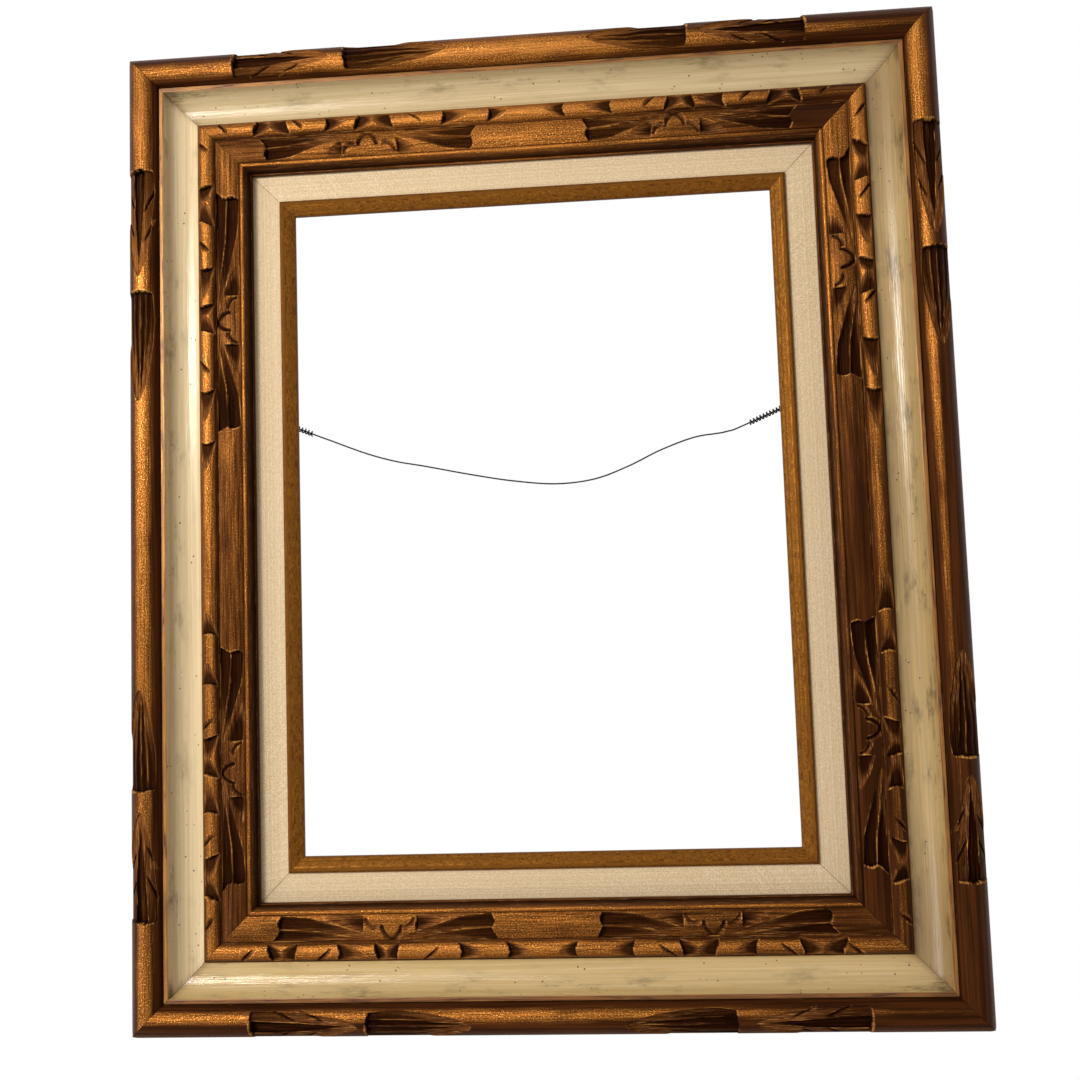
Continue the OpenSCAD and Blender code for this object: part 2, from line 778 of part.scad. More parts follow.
outer_rail(0, half_h, half_w);  // outer_rail_top
outer_rail(180, half_h, half_w);  // outer_rail_bottom
outer_rail(270, half_w, half_h);  // outer_rail_left
outer_rail(90, half_w, half_h);  // outer_rail_right
carved_rail(0, half_h, half_w, short_motif_s, motif_reach);  // carved_rail_top
carved_rail(180, half_h, half_w, short_motif_s, motif_reach);  // carved_rail_bottom
carved_rail(270, half_w, half_h, long_motif_s, motif_reach * long_motif_share);  // carved_rail_left
carved_rail(90, half_w, half_h, long_motif_s, motif_reach * long_motif_share);  // carved_rail_right
liner_rail(0, half_h, half_w);  // liner_rail_top
liner_rail(180, half_h, half_w);  // liner_rail_bottom
liner_rail(270, half_w, half_h);  // liner_rail_left
liner_rail(90, half_w, half_h);  // liner_rail_right
linen(0, half_h, half_w);  // linen_top
linen(180, half_h, half_w);  // linen_bottom
linen(270, half_w, half_h);  // linen_left
linen(90, half_w, half_h);  // linen_right
color("#7d7f84") fastener_set(0);  // corner_fasteners
color("#7d7f84") corner_nail_set(0);  // carved_frame_corner_nails
color("#7d7f84") carved_frame_nail_set(0);  // carved_frame_nails
color("#7d7f84") brad_set(0);  // liner_brads
screw_eye(-1);  // screw_eye_left
screw_eye(1);  // screw_eye_right
hanging_wire();
wire_wrap(-1);  // wire_wrap_left
wire_wrap(1);  // wire_wrap_right
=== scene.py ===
# %% [markdown]
# # A carved picture frame with a linen liner
#
# An old frame in three nested parts: an outer frame with a cream cove, a gold fillet and a big carved
# roll, a carved inner frame with a small roll, a field of leaves and a bead, and a liner of board with
# linen and a gilded lip. Behind the opening hangs its picture wire. This file builds all of it in metres,
# in the frame's own coordinates: +X to the right, +Y back into the wall, +Z up. Lengths that a framer
# would measure are written in millimetres and turned into metres when the points are placed.

import math

import bmesh
import bpy
import numpy as np
from mathutils import Matrix, Vector


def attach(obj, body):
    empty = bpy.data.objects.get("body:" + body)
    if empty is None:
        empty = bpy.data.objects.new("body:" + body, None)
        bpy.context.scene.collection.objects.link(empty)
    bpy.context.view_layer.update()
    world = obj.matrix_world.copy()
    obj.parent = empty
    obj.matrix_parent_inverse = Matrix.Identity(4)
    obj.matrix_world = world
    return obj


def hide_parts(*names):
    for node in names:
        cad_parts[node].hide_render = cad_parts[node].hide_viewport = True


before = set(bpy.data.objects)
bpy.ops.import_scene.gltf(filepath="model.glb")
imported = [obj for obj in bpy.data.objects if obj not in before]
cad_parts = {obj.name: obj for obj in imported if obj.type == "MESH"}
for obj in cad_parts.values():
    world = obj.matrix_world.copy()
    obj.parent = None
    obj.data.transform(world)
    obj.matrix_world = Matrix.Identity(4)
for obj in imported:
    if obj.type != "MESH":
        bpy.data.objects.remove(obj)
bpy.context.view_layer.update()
scene = bpy.context.scene

# %% [markdown]
# ## The camera
#
# The photo is taken from a little right of the middle and a little below it, about 70 cm away, with a
# wide lens. The numbers come from fitting the four sight corners and the four outer corners. A camera in
# Blender looks along its own -Z, so the third column of its matrix is the view direction turned round.

# %% Camera
CAMERA_AT = (0.0486, -0.7039, -0.0686)
CAMERA_RIGHT = (0.99685, 0.07258, -0.03202)
CAMERA_UP = (0.03774, -0.07887, 0.99617)
CAMERA_FORWARD = (-0.06978, 0.99424, 0.08136)
LENS, SENSOR, NEAREST = 38.17, 36, 0.01
axes = Matrix((CAMERA_RIGHT, CAMERA_UP, -Vector(CAMERA_FORWARD))).transposed()
camera_data = bpy.data.cameras.new("camera")
camera_data.lens, camera_data.sensor_width, camera_data.clip_start = LENS, SENSOR, NEAREST
camera = bpy.data.objects.new("camera", camera_data)
camera.matrix_world = Matrix.Translation(CAMERA_AT) @ axes.to_4x4()
scene.collection.objects.link(camera)
scene.camera = camera
scene.view_settings.view_transform = "Standard"


# %% [markdown]
# ## Helpers for nodes
#
# A material is a small tree of nodes, and so is a recipe for geometry. `add` makes one node, sets its
# choices and fills its inputs. It gives back a `Flow`, which is what comes out of the node. Sums and
# products of flows make Math nodes, so a tree reads from top to bottom like a formula.


# %% Helpers for nodes
def rgb(code):
    """A colour written as #rrggbb, as the linear numbers that Blender calculates with."""
    parts = [int(code[i : i + 2], 16) / 255 for i in (1, 3, 5)]
    return (*(c / 12.92 if c <= 0.04045 else ((c + 0.055) / 1.055) ** 2.4 for c in parts), 1.0)


class Flow:
    """What comes out of a node: a number, a colour, a vector or a mesh."""

    def __init__(self, socket):
        self.socket, self.tree = socket, socket.id_data

    def also(self, name):
        """Another output of the same node."""
        return Flow(self.socket.node.outputs[name])

    def __add__(self, other):
        return calculate("ADD", self, other)

    def __sub__(self, other):
        return calculate("SUBTRACT", self, other)

    def __rsub__(self, other):
        return calculate("SUBTRACT", other, self)

    def __mul__(self, other):
        return calculate("MULTIPLY", self, other)

    def __truediv__(self, other):
        return calculate("DIVIDE", self, other)

    def __rtruediv__(self, other):
        return calculate("DIVIDE", other, self)


def feed(node, inputs):
    """Fill a node's inputs. Each takes a flow, a list of flows, a colour or another plain value."""
    for key, value in inputs.items():
        if isinstance(value, (Flow, list)):
            for flow in value if isinstance(value, list) else [value]:
                flow.tree.links.new(flow.socket, node.inputs[key])
        else:
            is_colour = isinstance(value, str) and value.startswith("#")
            node.inputs[key].default_value = rgb(value) if is_colour else value


def add(tree, kind, inputs=None, output=0, **settings):
    """A new node in a tree, and the flow out of it."""
    node = tree.nodes.new(kind)
    for key, value in settings.items():
        setattr(node, key, value)
    feed(node, inputs or {})
    return Flow(node.outputs[output])


def tree_of(*values):
    return next(value.tree for value in values if isinstance(value, Flow))


def calculate(operation, a, b=0.0):
    return add(tree_of(a, b), "ShaderNodeMath", {0: a, 1: b}, operation=operation)


def vector_math(operation, a, b):
    return add(tree_of(a, b), "ShaderNodeVectorMath", {0: a, 1: b}, operation=operation)


def xyz(x, y, z):
    return add(tree_of(x, y, z), "ShaderNodeCombineXYZ", {0: x, 1: y, 2: z})


def split(vector):
    """The x, y and z of a vector."""
    x = add(vector.tree, "ShaderNodeSeparateXYZ", {0: vector})
    return x, x.also("Y"), x.also("Z")


def step(value, low, high):
    """0 below low, 1 above high, and smooth between."""
    inputs = {"Value": value, "From Min": low, "From Max": high}
    return add(value.tree, "ShaderNodeMapRange", inputs, interpolation_type="SMOOTHSTEP")


def mix(share, a, b):
    """Colour a where share is 0, and colour b where it is 1."""
    return add(share.tree, "ShaderNodeMix", {0: share, 6: a, 7: b}, output=2, data_type="RGBA")


def noise(vector, scale, detail=3.0, roughness=0.55, distortion=0.0):
    """Clouds from 0 to 1. A pair of scales stretches them along the rail and across it."""
    if isinstance(scale, tuple):
        vector, scale = vector_math("MULTIPLY", vector, (*scale, 1.0)), 1.0
    inputs = {"Vector": vector, "Scale": scale, "Detail": detail, "Roughness": roughness}
    return add(vector.tree, "ShaderNodeTexNoise", {**inputs, "Distortion": distortion}, output="Fac")


def relief(height, distance, strength):
    """A normal that shows a fine height, which is too small to be worth modelling."""
    inputs = {"Height": height, "Distance": distance, "Strength": strength}
    return add(height.tree, "ShaderNodeBump", inputs)


def new_group(name, kind, inputs, outputs):
    """An empty group of nodes. An input is given by its starting value, or by the name of its kind."""
    group = bpy.data.node_groups.new(name, kind)
    for way, labels in (("INPUT", inputs), ("OUTPUT", outputs)):
        for label, value in labels.items():
            sort = value if isinstance(value, str) else type(value).__name__.title()
            socket = group.interface.new_socket(name=label, in_out=way, socket_type=f"NodeSocket{sort}")
            if not isinstance(value, str):
                socket.default_value = value
    given = group.nodes.new("NodeGroupInput").outputs
    return group, {s.name: Flow(s) for s in given if s.name}, group.nodes.new("NodeGroupOutput")


# %% [markdown]
# ## Materials
#
# The rolls, the field and the bead are stained dark brown and then rubbed with bronze gold, which stays
# on the high lines and wears through in streaks along the rail. Cuts stay dark, and deep in them, on their
# steep walls and in grooves the colour goes near black, which is painted shade. Their edges get a thin
# bright
# line, which is worn gold and also a painted highlight. The mesh carries numbers on its points:
#
# - `cut` is how deep the carver went; the quirk, the walls and the valley get a cut too, for painted shade,
#   and the outer side one to keep it dark and dull
# - `stop` is how steep a cut's wall is, where shadow is painted, and `wear_and_highlight` how sharp an edge
#   is, where a highlight is painted
# - `crest` is how high the spot is on its roll, or up the steep side of the cove; on the outer roll it sits
#   where the roll catches the light, so its gold is partly a painted highlight
# - `tone` is how golden that part of the frame is, partly a painted highlight at the top's middle, and
#   `worn` how much of it the fillet has lost
# - `golden`, `pale` and `grime` say how yellow, how light, and how dark and brown the cove is there
#
# The shaders turn these into masks, so one finish is used on every rail. Brush streaks are in all of the
# finishes, so they are a shared node group. Every finish reads `along_across`, a map in metres along the
# rail and across its face, so its grain follows the wood.


# %% Shared streaks
def build_streaks():
    """Long brush streaks along the rail, from 0 to 1."""
    inputs = {"Along across": "Vector", "Length": 0.05, "Width": 0.0012}
    tree, given, end = new_group("brush streaks", "ShaderNodeTree", inputs, {"Streaks": "Float"})
    scale = xyz(1.0 / given["Length"], 1.0 / given["Width"], 1.0)
    clouds = noise(vector_math("MULTIPLY", given["Along across"], scale), 1.0, 4.0, 0.6, 0.35)
    feed(end, {"Streaks": step(clouds, 0.32, 0.68)})
    return tree


STREAKS = build_streaks()


def streaks(vector, length, width):
    """A copy of the shared streaks, so many metres long and wide."""
    node = vector.tree.nodes.new("ShaderNodeGroup")
    node.node_tree = STREAKS
    feed(node, {"Along across": vector, "Length": length, "Width": width})
    return Flow(node.outputs["Streaks"])


def new_material(name, preview):
    material = bpy.data.materials.new(name)
    material.use_nodes = True
    material.diffuse_color = rgb(preview)
    return material, material.node_tree


def rail_uv(tree):
    """How far along the rail and how far across its face, in metres."""
    return add(tree, "ShaderNodeUVMap", uv_map="along_across")


def attribute(tree, name):
    return add(tree, "ShaderNodeAttribute", output="Fac", attribute_name=name)


def object_place(tree):
    return add(tree, "ShaderNodeTexCoord", output="Object")


def painted(material, inputs):
    """Set what the material's one shader shows."""
    feed(material.node_tree.nodes["Principled BSDF"], inputs)
    return material


# %% Gilded and painted woods
WARM_SHINE = "#cf9058"  # the tint of reflections in a toned gold varnish


def bronze_wood():
    """Dark stain with bronze gold rubbed on its high lines; cuts are stained again after carving, and
    darkened as painted shade deep down and on steep walls.
    """
    material, tree = new_material("bronze rubbed wood", "#6b4526")
    uv = rail_uv(tree)
    names = ("cut", "wear_and_highlight", "crest", "tone", "stop")
    cut, wear_and_highlight, crest, tone, stop = (attribute(tree, name) for name in names)
    fine, broad = streaks(uv, 0.03, 0.0007), streaks(uv, 0.12, 0.003)
    grain, blotch = noise(uv, (1100, 1500), 2.0), noise(uv, (45, 130), 4.0, 0.6)
    stain = mix(broad, "#271206", "#4a2711")
    rubbed = crest * 1.3 + fine * 0.2 + broad * 0.22 + blotch * 0.62 + tone
    share = step(rubbed, 0.95, 2.0)
    rosy = step(noise(uv, (28, 90)), 0.52, 0.7)
    gold = mix(fine, "#5f310e", "#9e5f22")
    gold = mix(step(grain, 0.5, 0.7), gold, "#e3a75a")
    gold = mix(rosy * 0.4, gold, "#6f4128")
    # The most rubbed gold is made brighter still, partly as a painted highlight.
    gold = mix(step(rubbed, 1.8, 2.8) * 0.55, gold, "#c48140")
    facet = mix(fine, "#2e1408", "#7e4d27")
    gilded_facet = mix(fine, "#5a2f12", "#a0662e")
    facet = mix(step(tone, -0.1, 0.4), facet, gilded_facet)
    facet = mix(step(streaks(uv, 0.012, 0.0004), 0.8, 1.0), facet, "#c89660")
    # Deep in a cut the stain goes near black, which is also painted shade.
    depth = step(cut, 0.8, 2.5)
    sunk = step(cut, 0.03, 0.5) * 0.92
    face = mix(sunk, mix(share, stain, gold), mix(depth, facet, mix(fine, "#0d0402", "#2c1208")))
    # Steep cut walls and grooves go near black: painted shadow.
    face = mix(stop * 0.92, face, "#120603")
    # A bright line along sharp edges: worn gold, and a painted highlight.
    edge = wear_and_highlight * (fine + 0.3) * step(blotch, 0.34, 0.6)
    face = mix(step(edge, 0.15, 0.8) * 0.88, face, "#c58a47")
    bright = share * (1.0 - sunk)
    finish = {
        "Base Color": face,
        "Metallic": (bright * 0.35 + 0.12) * (1.0 - depth * 0.9),
        "Roughness": fine * 0.15 + 0.25 + sunk * 0.25,
        "Specular IOR Level": 0.14 - sunk * 0.1,
        "Specular Tint": WARM_SHINE,
        "Normal": relief(fine + grain * 0.8, 0.00013, 0.7),
    }
    return painted(material, finish)


def gold_leaf():
    """The narrow fillet: orange gold over a red ground, worn along its edges."""
    material, tree = new_material("worn gold", "#b57a36")
    uv = rail_uv(tree)
    fine = streaks(uv, 0.03, 0.0007)
    gold = mix(attribute(tree, "worn"), mix(fine, "#85551c", "#c8913e"), mix(fine, "#44230e", "#7c4c22"))
    bare = step(noise(uv, (40, 500), 4.0), 0.56, 0.68)
    finish = {"Roughness": 0.42, "Metallic": 0.3, "Normal": relief(fine, 0.0001, 0.5)}
    return painted(material, {"Base Color": mix(bare, gold, "#4a2410"), **finish})


def cream_paint():
    """Antiqued cream paint: greyer up the steep side, brighter at the foot, brushed along the rail."""
    material, tree = new_material("antiqued cream paint", "#cfc6a8")
    uv = rail_uv(tree)
    names = ("crest", "pale", "golden", "grime")
    steep, pale, golden, grime = (attribute(tree, name) for name in names)
    fine, broad = streaks(uv, 0.09, 0.0008), streaks(uv, 0.2, 0.003)
    shade = mix(steep, "#b5a17e", "#b3a281")
    shade = mix(pale, shade, "#dcc7a2")
    shade = mix(golden * 0.72, shade, "#c9a75e")
    shade = mix(fine * 0.35, shade, "#e2d7b4")
    patina = step(noise(uv, (30, 90), 5.0, 0.65), 0.5, 0.72)
    # Darker patina and brown patches, more up the steep side, toward the mitres and along the right rail.
    shade = mix(patina * (steep + grime) * 0.6, shade, "#6b6248")
    shade = mix(step(grime + fine * 0.5, 1.0, 2.3) * 0.7, shade, "#6a4e2d")
    shade = mix(broad * 0.32, shade, "#9c8452")
    spots = add(tree, "ShaderNodeTexVoronoi", {"Vector": uv, "Scale": 230.0}, feature="F1")
    specks = calculate("LESS_THAN", spots, 0.115) * step(noise(uv, 70.0, 2.0), 0.51, 0.56)
    shade = mix(specks, shade, "#55422a")
    finish = {"Base Color": shade, "Roughness": 0.21, "Normal": relief(fine + broad, 0.00012, 0.5)}
    return painted(material, finish)


def bare_wood():
    """Bare wood of the rails' backs, with grain along the rail."""
    light, dark = "#8a6a45", "#5f4327"
    material, tree = new_material("bare brown wood", light)
    uv = rail_uv(tree)
    grain, bands = noise(uv, (9, 300), 5.0, 0.6, 0.8), noise(uv, (3, 60), 2.0)
    colour = mix(bands * 0.5, mix(step(grain, 0.35, 0.7), light, dark), dark)
    finish = {"Base Color": colour, "Roughness": 0.72, "Normal": relief(grain, 0.0002, 0.6)}
    return painted(material, finish)


def lip_gold():
    """The liner's lip in toned gold; behind its ledge the liner is bare board."""
    material, tree = new_material("toned gold lip", "#8a5a2a")
    uv = rail_uv(tree)
    fine = streaks(uv, 0.02, 0.0006)
    gold = mix(fine, "#4c2b09", "#85561c")
    gold = mix(step(noise(uv, (60, 300), 4.0), 0.5, 0.75), gold, "#43230b")
    bare = step(split(object_place(tree))[1], -0.0114, -0.0109)
    board = mix(noise(uv, (12, 400), 4.0), "#c3a06b", "#9a7445")
    finish = {
        "Base Color": mix(bare, gold, board),
        "Roughness": 0.42,
        "Metallic": (1.0 - bare) * 0.3,
        "Specular Tint": WARM_SHINE,
        "Normal": relief(fine, 0.00012, 0.6),
    }
    return painted(material, finish)


# %% Linen and metals
YARN_PITCH = 0.00135  # from yarn to yarn, in metres


def linen_cloth():
    """Natural linen: yarns a little lighter and darker along their length, slubs, and gaps between the yarns
    darkened as painted shade.
    """
    material, tree = new_material("natural linen", "#c9b48e")
    uv = rail_uv(tree)
    yarns = 1 / YARN_PITCH
    unsteady = noise(uv, 170.0, 2.0) * 0.0011
    lightness, waves = [], []
    for at, stretch in zip(split(uv), ((yarns, 210), (210, yarns))):
        number = calculate("FLOOR", at * yarns)
        own = add(tree, "ShaderNodeTexWhiteNoise", {"W": number}, "Value", noise_dimensions="1D")
        lightness.append(step(own * 0.2 + noise(uv, stretch, 2.0) * 0.8, 0.35, 0.65))
        waves.append(calculate("SINE", (at + unsteady) * (math.pi * yarns)))
    over = step(waves[0] * waves[1], -0.3, 0.3)
    warp, weft = mix(lightness[0], "#d2b98f", "#fff1da"), mix(lightness[1], "#ccb38b", "#ffeed4")
    cloth = mix(over * 0.2 + 0.4, warp, weft)
    gap = calculate("MINIMUM", *(calculate("ABSOLUTE", wave) for wave in waves))
    cloth = mix(step(noise(uv, 620.0, 2.0), 0.42, 0.62) * 0.42, cloth, "#a58c62")
    # Darker where the yarns part: painted shade in the gaps.
    cloth = mix(step(gap, 0.5, 0.1) * 0.45, cloth, "#8a734e")
    finish = {"Roughness": 0.92, "Sheen Weight": 0.15, "Normal": relief(gap, 0.0001, 0.4)}
    return painted(material, {"Base Color": cloth, **finish})


def dull_metal(name, light, dark, metallic, smoothest):
    """Metal with tarnish in blotches, which is rougher than the metal."""
    material, tree = new_material(name, light)
    blotch = step(noise(object_place(tree), 900.0, 3.0), 0.4, 0.65)
    finish = {"Metallic": metallic, "Roughness": blotch * (0.7 - smoothest) + smoothest}
    return painted(material, {"Base Color": mix(blotch, light, dark), **finish})


BRONZE, GOLD, CREAM, BACK_WOOD = bronze_wood(), gold_leaf(), cream_paint(), bare_wood()
LIP_GOLD, LINEN = lip_gold(), linen_cloth()
STEEL = dull_metal("dulled steel", "#8f8d88", "#5b4a3a", 0.85, 0.35)
WIRE = dull_metal("blackened wire", "#171412", "#0b0908", 0.3, 0.5)
print("materials:", [material.name for material in bpy.data.materials])

# %% [markdown]
# ## Where a rail's points go
#
# All four rails of a frame have the same cross-section. A point on a rail has three distances: `x` along
# the rail from its middle, `u` outward from the edge of the opening, and `h` forward from the wall. The
# frame is mitred, so a rail is longer the further out one measures: its half length is `run + u`.
# `s` is the distance from the outer corner. The carver's stops were read off the photo that way.

# %% Rails and their places
FRAME_WIDTH = 99.0
RUN = {"top": 148.0, "bottom": 148.0, "left": 198.0, "right": 198.0}
HALVES = {
    ("top", -1): "TL",
    ("top", 1): "TR",
    ("bottom", -1): "BR",
    ("bottom", 1): "BL",
    ("right", -1): "RT",
    ("right", 1): "RB",
    ("left", -1): "LB",
    ("left", 1): "LT",
}


def place(side, x, u, h):
    """Points of a rail in the frame's coordinates, in metres."""
    across, up = RUN["top"] + u, RUN["left"] + u
    spots = {
        "top": (x, -h, up),
        "bottom": (-x, -h, -up),
        "right": (across, -h, -x),
        "left": (-across, -h, x),
    }
    return np.stack(np.broadcast_arrays(*spots[side]), axis=-1) / 1000


def arc(centre_u, centre_h, radius, start, end, count):
    """Points on an arc of the cross-section; angles in degrees, 90 is straight forward."""
    turn = np.radians(np.linspace(start, end, count))
    return [(centre_u + radius * math.cos(t), centre_h + radius * math.sin(t)) for t in turn]


def section(*runs):
    """A cross-section made of runs of points, each run with its finish: u, h and every point's finish."""
    points = [point for finish, run in runs for point in run]
    u, h = (np.array([point[k] for point in points]) for k in (0, 1))
    return u, h, [finish for finish, run in runs for point in run]


def ramp(value, low, high):
    """0 below low, 1 above high, and straight between."""
    return np.clip((value - low) / (high - low), 0, 1)


def wander(x, spacing, seed):
    """A smooth random line from -1 to 1, the same one for the same seed: the unsteadiness of a hand."""
    values = np.random.default_rng(seed).uniform(-1, 1, 600)
    return np.interp(x / spacing + 300, np.arange(600), values)


def blurred(field, reach):
    """The field averaged over its neighbours along both directions."""
    for axis in (0, 1):
        total, weight = np.zeros_like(field), 0.0
        for shift in range(-reach, reach + 1):
            share = reach + 1 - abs(shift)
            total += share * np.roll(field, shift, axis)
            weight += share
        field = total / weight
    return field


# %% [markdown]
# ## How a rail is built
#
# A rail is one closed skin over rings of its cross-section. Rings stand close together where it is
# carved and wider elsewhere, and near a corner they lean over until the last one lies in the mitre. The
# carving pushes points straight back, as a gouge does. The depth of each point then gives the attributes
# that the shaders read.

# %% Build a rail
CARVED_STEP, PLAIN_STEP = 0.55, 2.2
MITRE_RINGS, MITRE_BEND, MITRE_GAP = 36, 3.0, 0.12


def carved_points(side, u, h, zones, carve):
    """A rail's rings with their mitred ends, carved: x, u, h, the depth of the cuts and s."""
    run, halves = RUN[side], []
    for sign in (-1, 1):
        key = HALVES[(side, sign)]
        straight_end = run + u.min() - MITRE_BEND
        places, x = [], 0.0
        while x < straight_end:
            places.append(x)
            s = run + FRAME_WIDTH - x
            x += CARVED_STEP if any(low <= s <= high for low, high in zones(key)) else PLAIN_STEP
        straight = np.repeat(np.array(places)[:, None], len(u), 1)
        lean = np.linspace(0, 1, MITRE_RINGS)[:, None] ** 0.9
        mitred = straight_end + lean * (run + u - straight_end)
        mitred[-1] -= MITRE_GAP
        x = np.vstack([straight, mitred])
        s = run + FRAME_WIDTH - x
        cut = carve(key, s, np.broadcast_to(u, x.shape), np.broadcast_to(h, x.shape))
        rounding = np.clip(1 - (run + u - x) / 3.4, 0, 1) ** 2 * ramp(u, 97.2, 98.8)
        halves.append((sign * (x - rounding), u - rounding, h - cut, cut, s))
    return [np.vstack([left[:0:-1], right]) for left, right in zip(*halves)]


def ring_mesh(name, points, kinds, uv):
    """A closed skin over rings of points, with flat ends, its finishes and its map along and across."""
    rings, ring = points.shape[:2]
    i, j = np.meshgrid(np.arange(rings - 1), np.arange(ring), indexing="ij")
    after = (j + 1) % ring
    quads = np.stack([i * ring + after, (i + 1) * ring + after, (i + 1) * ring + j, i * ring + j], -1)
    ends = [list(range(ring)), [(rings - 1) * ring + k for k in reversed(range(ring))]]
    mesh = bpy.data.meshes.new(name)
    mesh.from_pydata(points.reshape(-1, 3).tolist(), [], quads.reshape(-1, 4).tolist() + ends)
    mesh.update()
    slots = list(dict.fromkeys(kinds))
    for kind in slots:
        mesh.materials.append(kind)
    indices = [slots.index(kinds[k]) for k in j.reshape(-1)] + [slots.index(BACK_WOOD)] * 2
    mesh.polygons.foreach_set("material_index", np.array(indices, np.int32))
    loops = np.zeros(len(mesh.loops), np.int32)
    mesh.loops.foreach_get("vertex_index", loops)
    layer = mesh.uv_layers.new(name="along_across")
    layer.data.foreach_set("uv", uv.reshape(-1, 2)[loops].reshape(-1).astype(np.float32))
    return mesh


def cut_walls(cut, x, u, h):
    """0 to 1 where a cut's wall is steep, along the rail or across it."""
    spacing = np.maximum(np.abs(np.gradient(x, axis=0)), 0.05)
    along = ramp(np.abs(np.gradient(cut, axis=0)) / spacing, 0.8, 2.2)
    spacing = np.maximum(np.hypot(np.gradient(u), np.gradient(h)), 0.1)
    across = ramp(np.abs(np.gradient(cut, axis=1)) / spacing, 0.8, 2.0) * 0.7
    return np.maximum(along, across)


def build_rail(name, side, profile, zones, carve, attributes):
    """A carved, mitred rail as one closed mesh that carries its attributes."""
    u, h, kinds = profile
    x, all_u, all_h, cut, s = carved_points(side, u, h, zones, carve)
    across = np.concatenate([[0], np.cumsum(np.hypot(np.diff(u), np.diff(h)))]) / 1000
    uv = np.stack([x / 1000, np.broadcast_to(across, x.shape)], -1)
    mesh = ring_mesh(name, place(side, x, all_u, all_h), kinds, uv)
    given = attributes(side, x, s, u, h)
    # Steep walls become painted shadow, deep cuts get painted shade on top of their stain, and sharp edges a
    # painted highlight on top of their worn gold.
    given["stop"] = np.maximum(cut_walls(cut, x, u, h), given.get("stop", 0))
    given["cut"] = np.maximum(cut * given.pop("stain depth"), given["cut"])
    given["wear_and_highlight"] = np.clip((blurred(cut, 2) - cut) / 0.5, 0, 1)
    for label, values in given.items():
        data = mesh.attributes.new(label, "FLOAT", "POINT").data
        data.foreach_set("value", np.broadcast_to(values, x.shape).reshape(-1).astype(np.float32))
    mesh.shade_smooth()
    mesh.set_sharp_from_angle(angle=math.radians(38))
    rail = bpy.data.objects.new(name, mesh)
    scene.collection.objects.link(rail)
    return rail


def build_frame(name, node, slot, *how):
    """The four rails of a frame, each in the place of its CAD node."""
    for side in RUN:
        rail = build_rail(f"{name}_{side}", side, *how)
        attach(rail, "frame")
        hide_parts(f"{node}_{side}")
        print(rail.name, len(rail.data.polygons), "faces")


# How golden each side is, at the lower end of x, in its middle and at the higher end of x; the top's high
# middle is partly a painted highlight.
TONE = {
    "top": (-0.1, 0.85, -0.6),
    "bottom": (-0.65, 0.0, -0.1),
    "right": (0.35, -0.45, -0.8),
    "left": (0.0, 0.15, 0.3),
}


def tone_along(side, x):
    return np.interp(x / (RUN[side] + FRAME_WIDTH), [-0.9, 0, 0.9], TONE[side])


def seed_of(key):
    return sum(ord(letter) * (number + 3) for number, letter in enumerate(key))


# %% [markdown]
# ## The outer frame
#
# Its section climbs from the rabbet through a hollow cove to a flat gold fillet, drops into a quirk and
# swells into a roll of 19 mm across. Two leaves are carved on each half of the roll, each one stopped
# square at the end nearer the corner and running out to nothing toward the middle. The carver worked by
# eye, so each of the eight halves has its own stops.

# %% The outer frame's section
ROLL_U, ROLL_H, ROLL_R = 89.25, 30.5, 9.5
COVE_FOOT_U = 58.5
OUTER_SECTION = section(
    (BACK_WOOD, [(62.3, 0.0), (62.3, 20.5)]),
    (GOLD, [(COVE_FOOT_U, 20.5), (COVE_FOOT_U, 21.8), (COVE_FOOT_U, 23.0), (58.7, 23.2)]),
    (CREAM, arc(64.0, 34.76, 12.8, -113.0, -7.0, 24)),
    (GOLD, [(76.75, 33.45), (76.95, 33.6), (77.6, 33.62), (78.4, 33.62), (79.2, 33.6), (79.5, 33.3)]),
    (BRONZE, [(79.5, 32.0), (79.55, 30.6)]),
    (BRONZE, arc(ROLL_U, ROLL_H, ROLL_R, 180, 0, 78)),
    (BRONZE, [(99.0, 30.2), (99.0, 20.0)]),
    (BACK_WOOD, [(99.0, 0.5), (98.6, 0.0)]),
)

# Stop and tip of leaf A and of leaf B, from the outer corner.
ROLL_LEAVES = {
    "TL": (67.5, 128, 137, 201),
    "TR": (77, 141, 147.5, 207.5),
    "BL": (72, 135, 140, 201),
    "BR": (68.5, 133, 142.5, 205.5),
    "LT": (73.5, 140, 149.5, 217.5),
    "LB": (67, 131, 143, 202.5),
    "RT": (71.7, 141, 147.5, 206.7),
    "RB": (82.5, 141.7, 151.7, 212),
}


# %% The leaves on the roll
def leaf_edge(t, blunt):
    """Half the width of a roll leaf, at the share t of its length."""
    return 9.1 * np.clip(1 - t**blunt, 0, 1) ** 0.62 + 1e-6


def vee(away, half):
    """A V cut seen end on: 1 at its bottom and 0 at its edges."""
    return np.clip(1 - np.abs(away) / half, 0, 1)


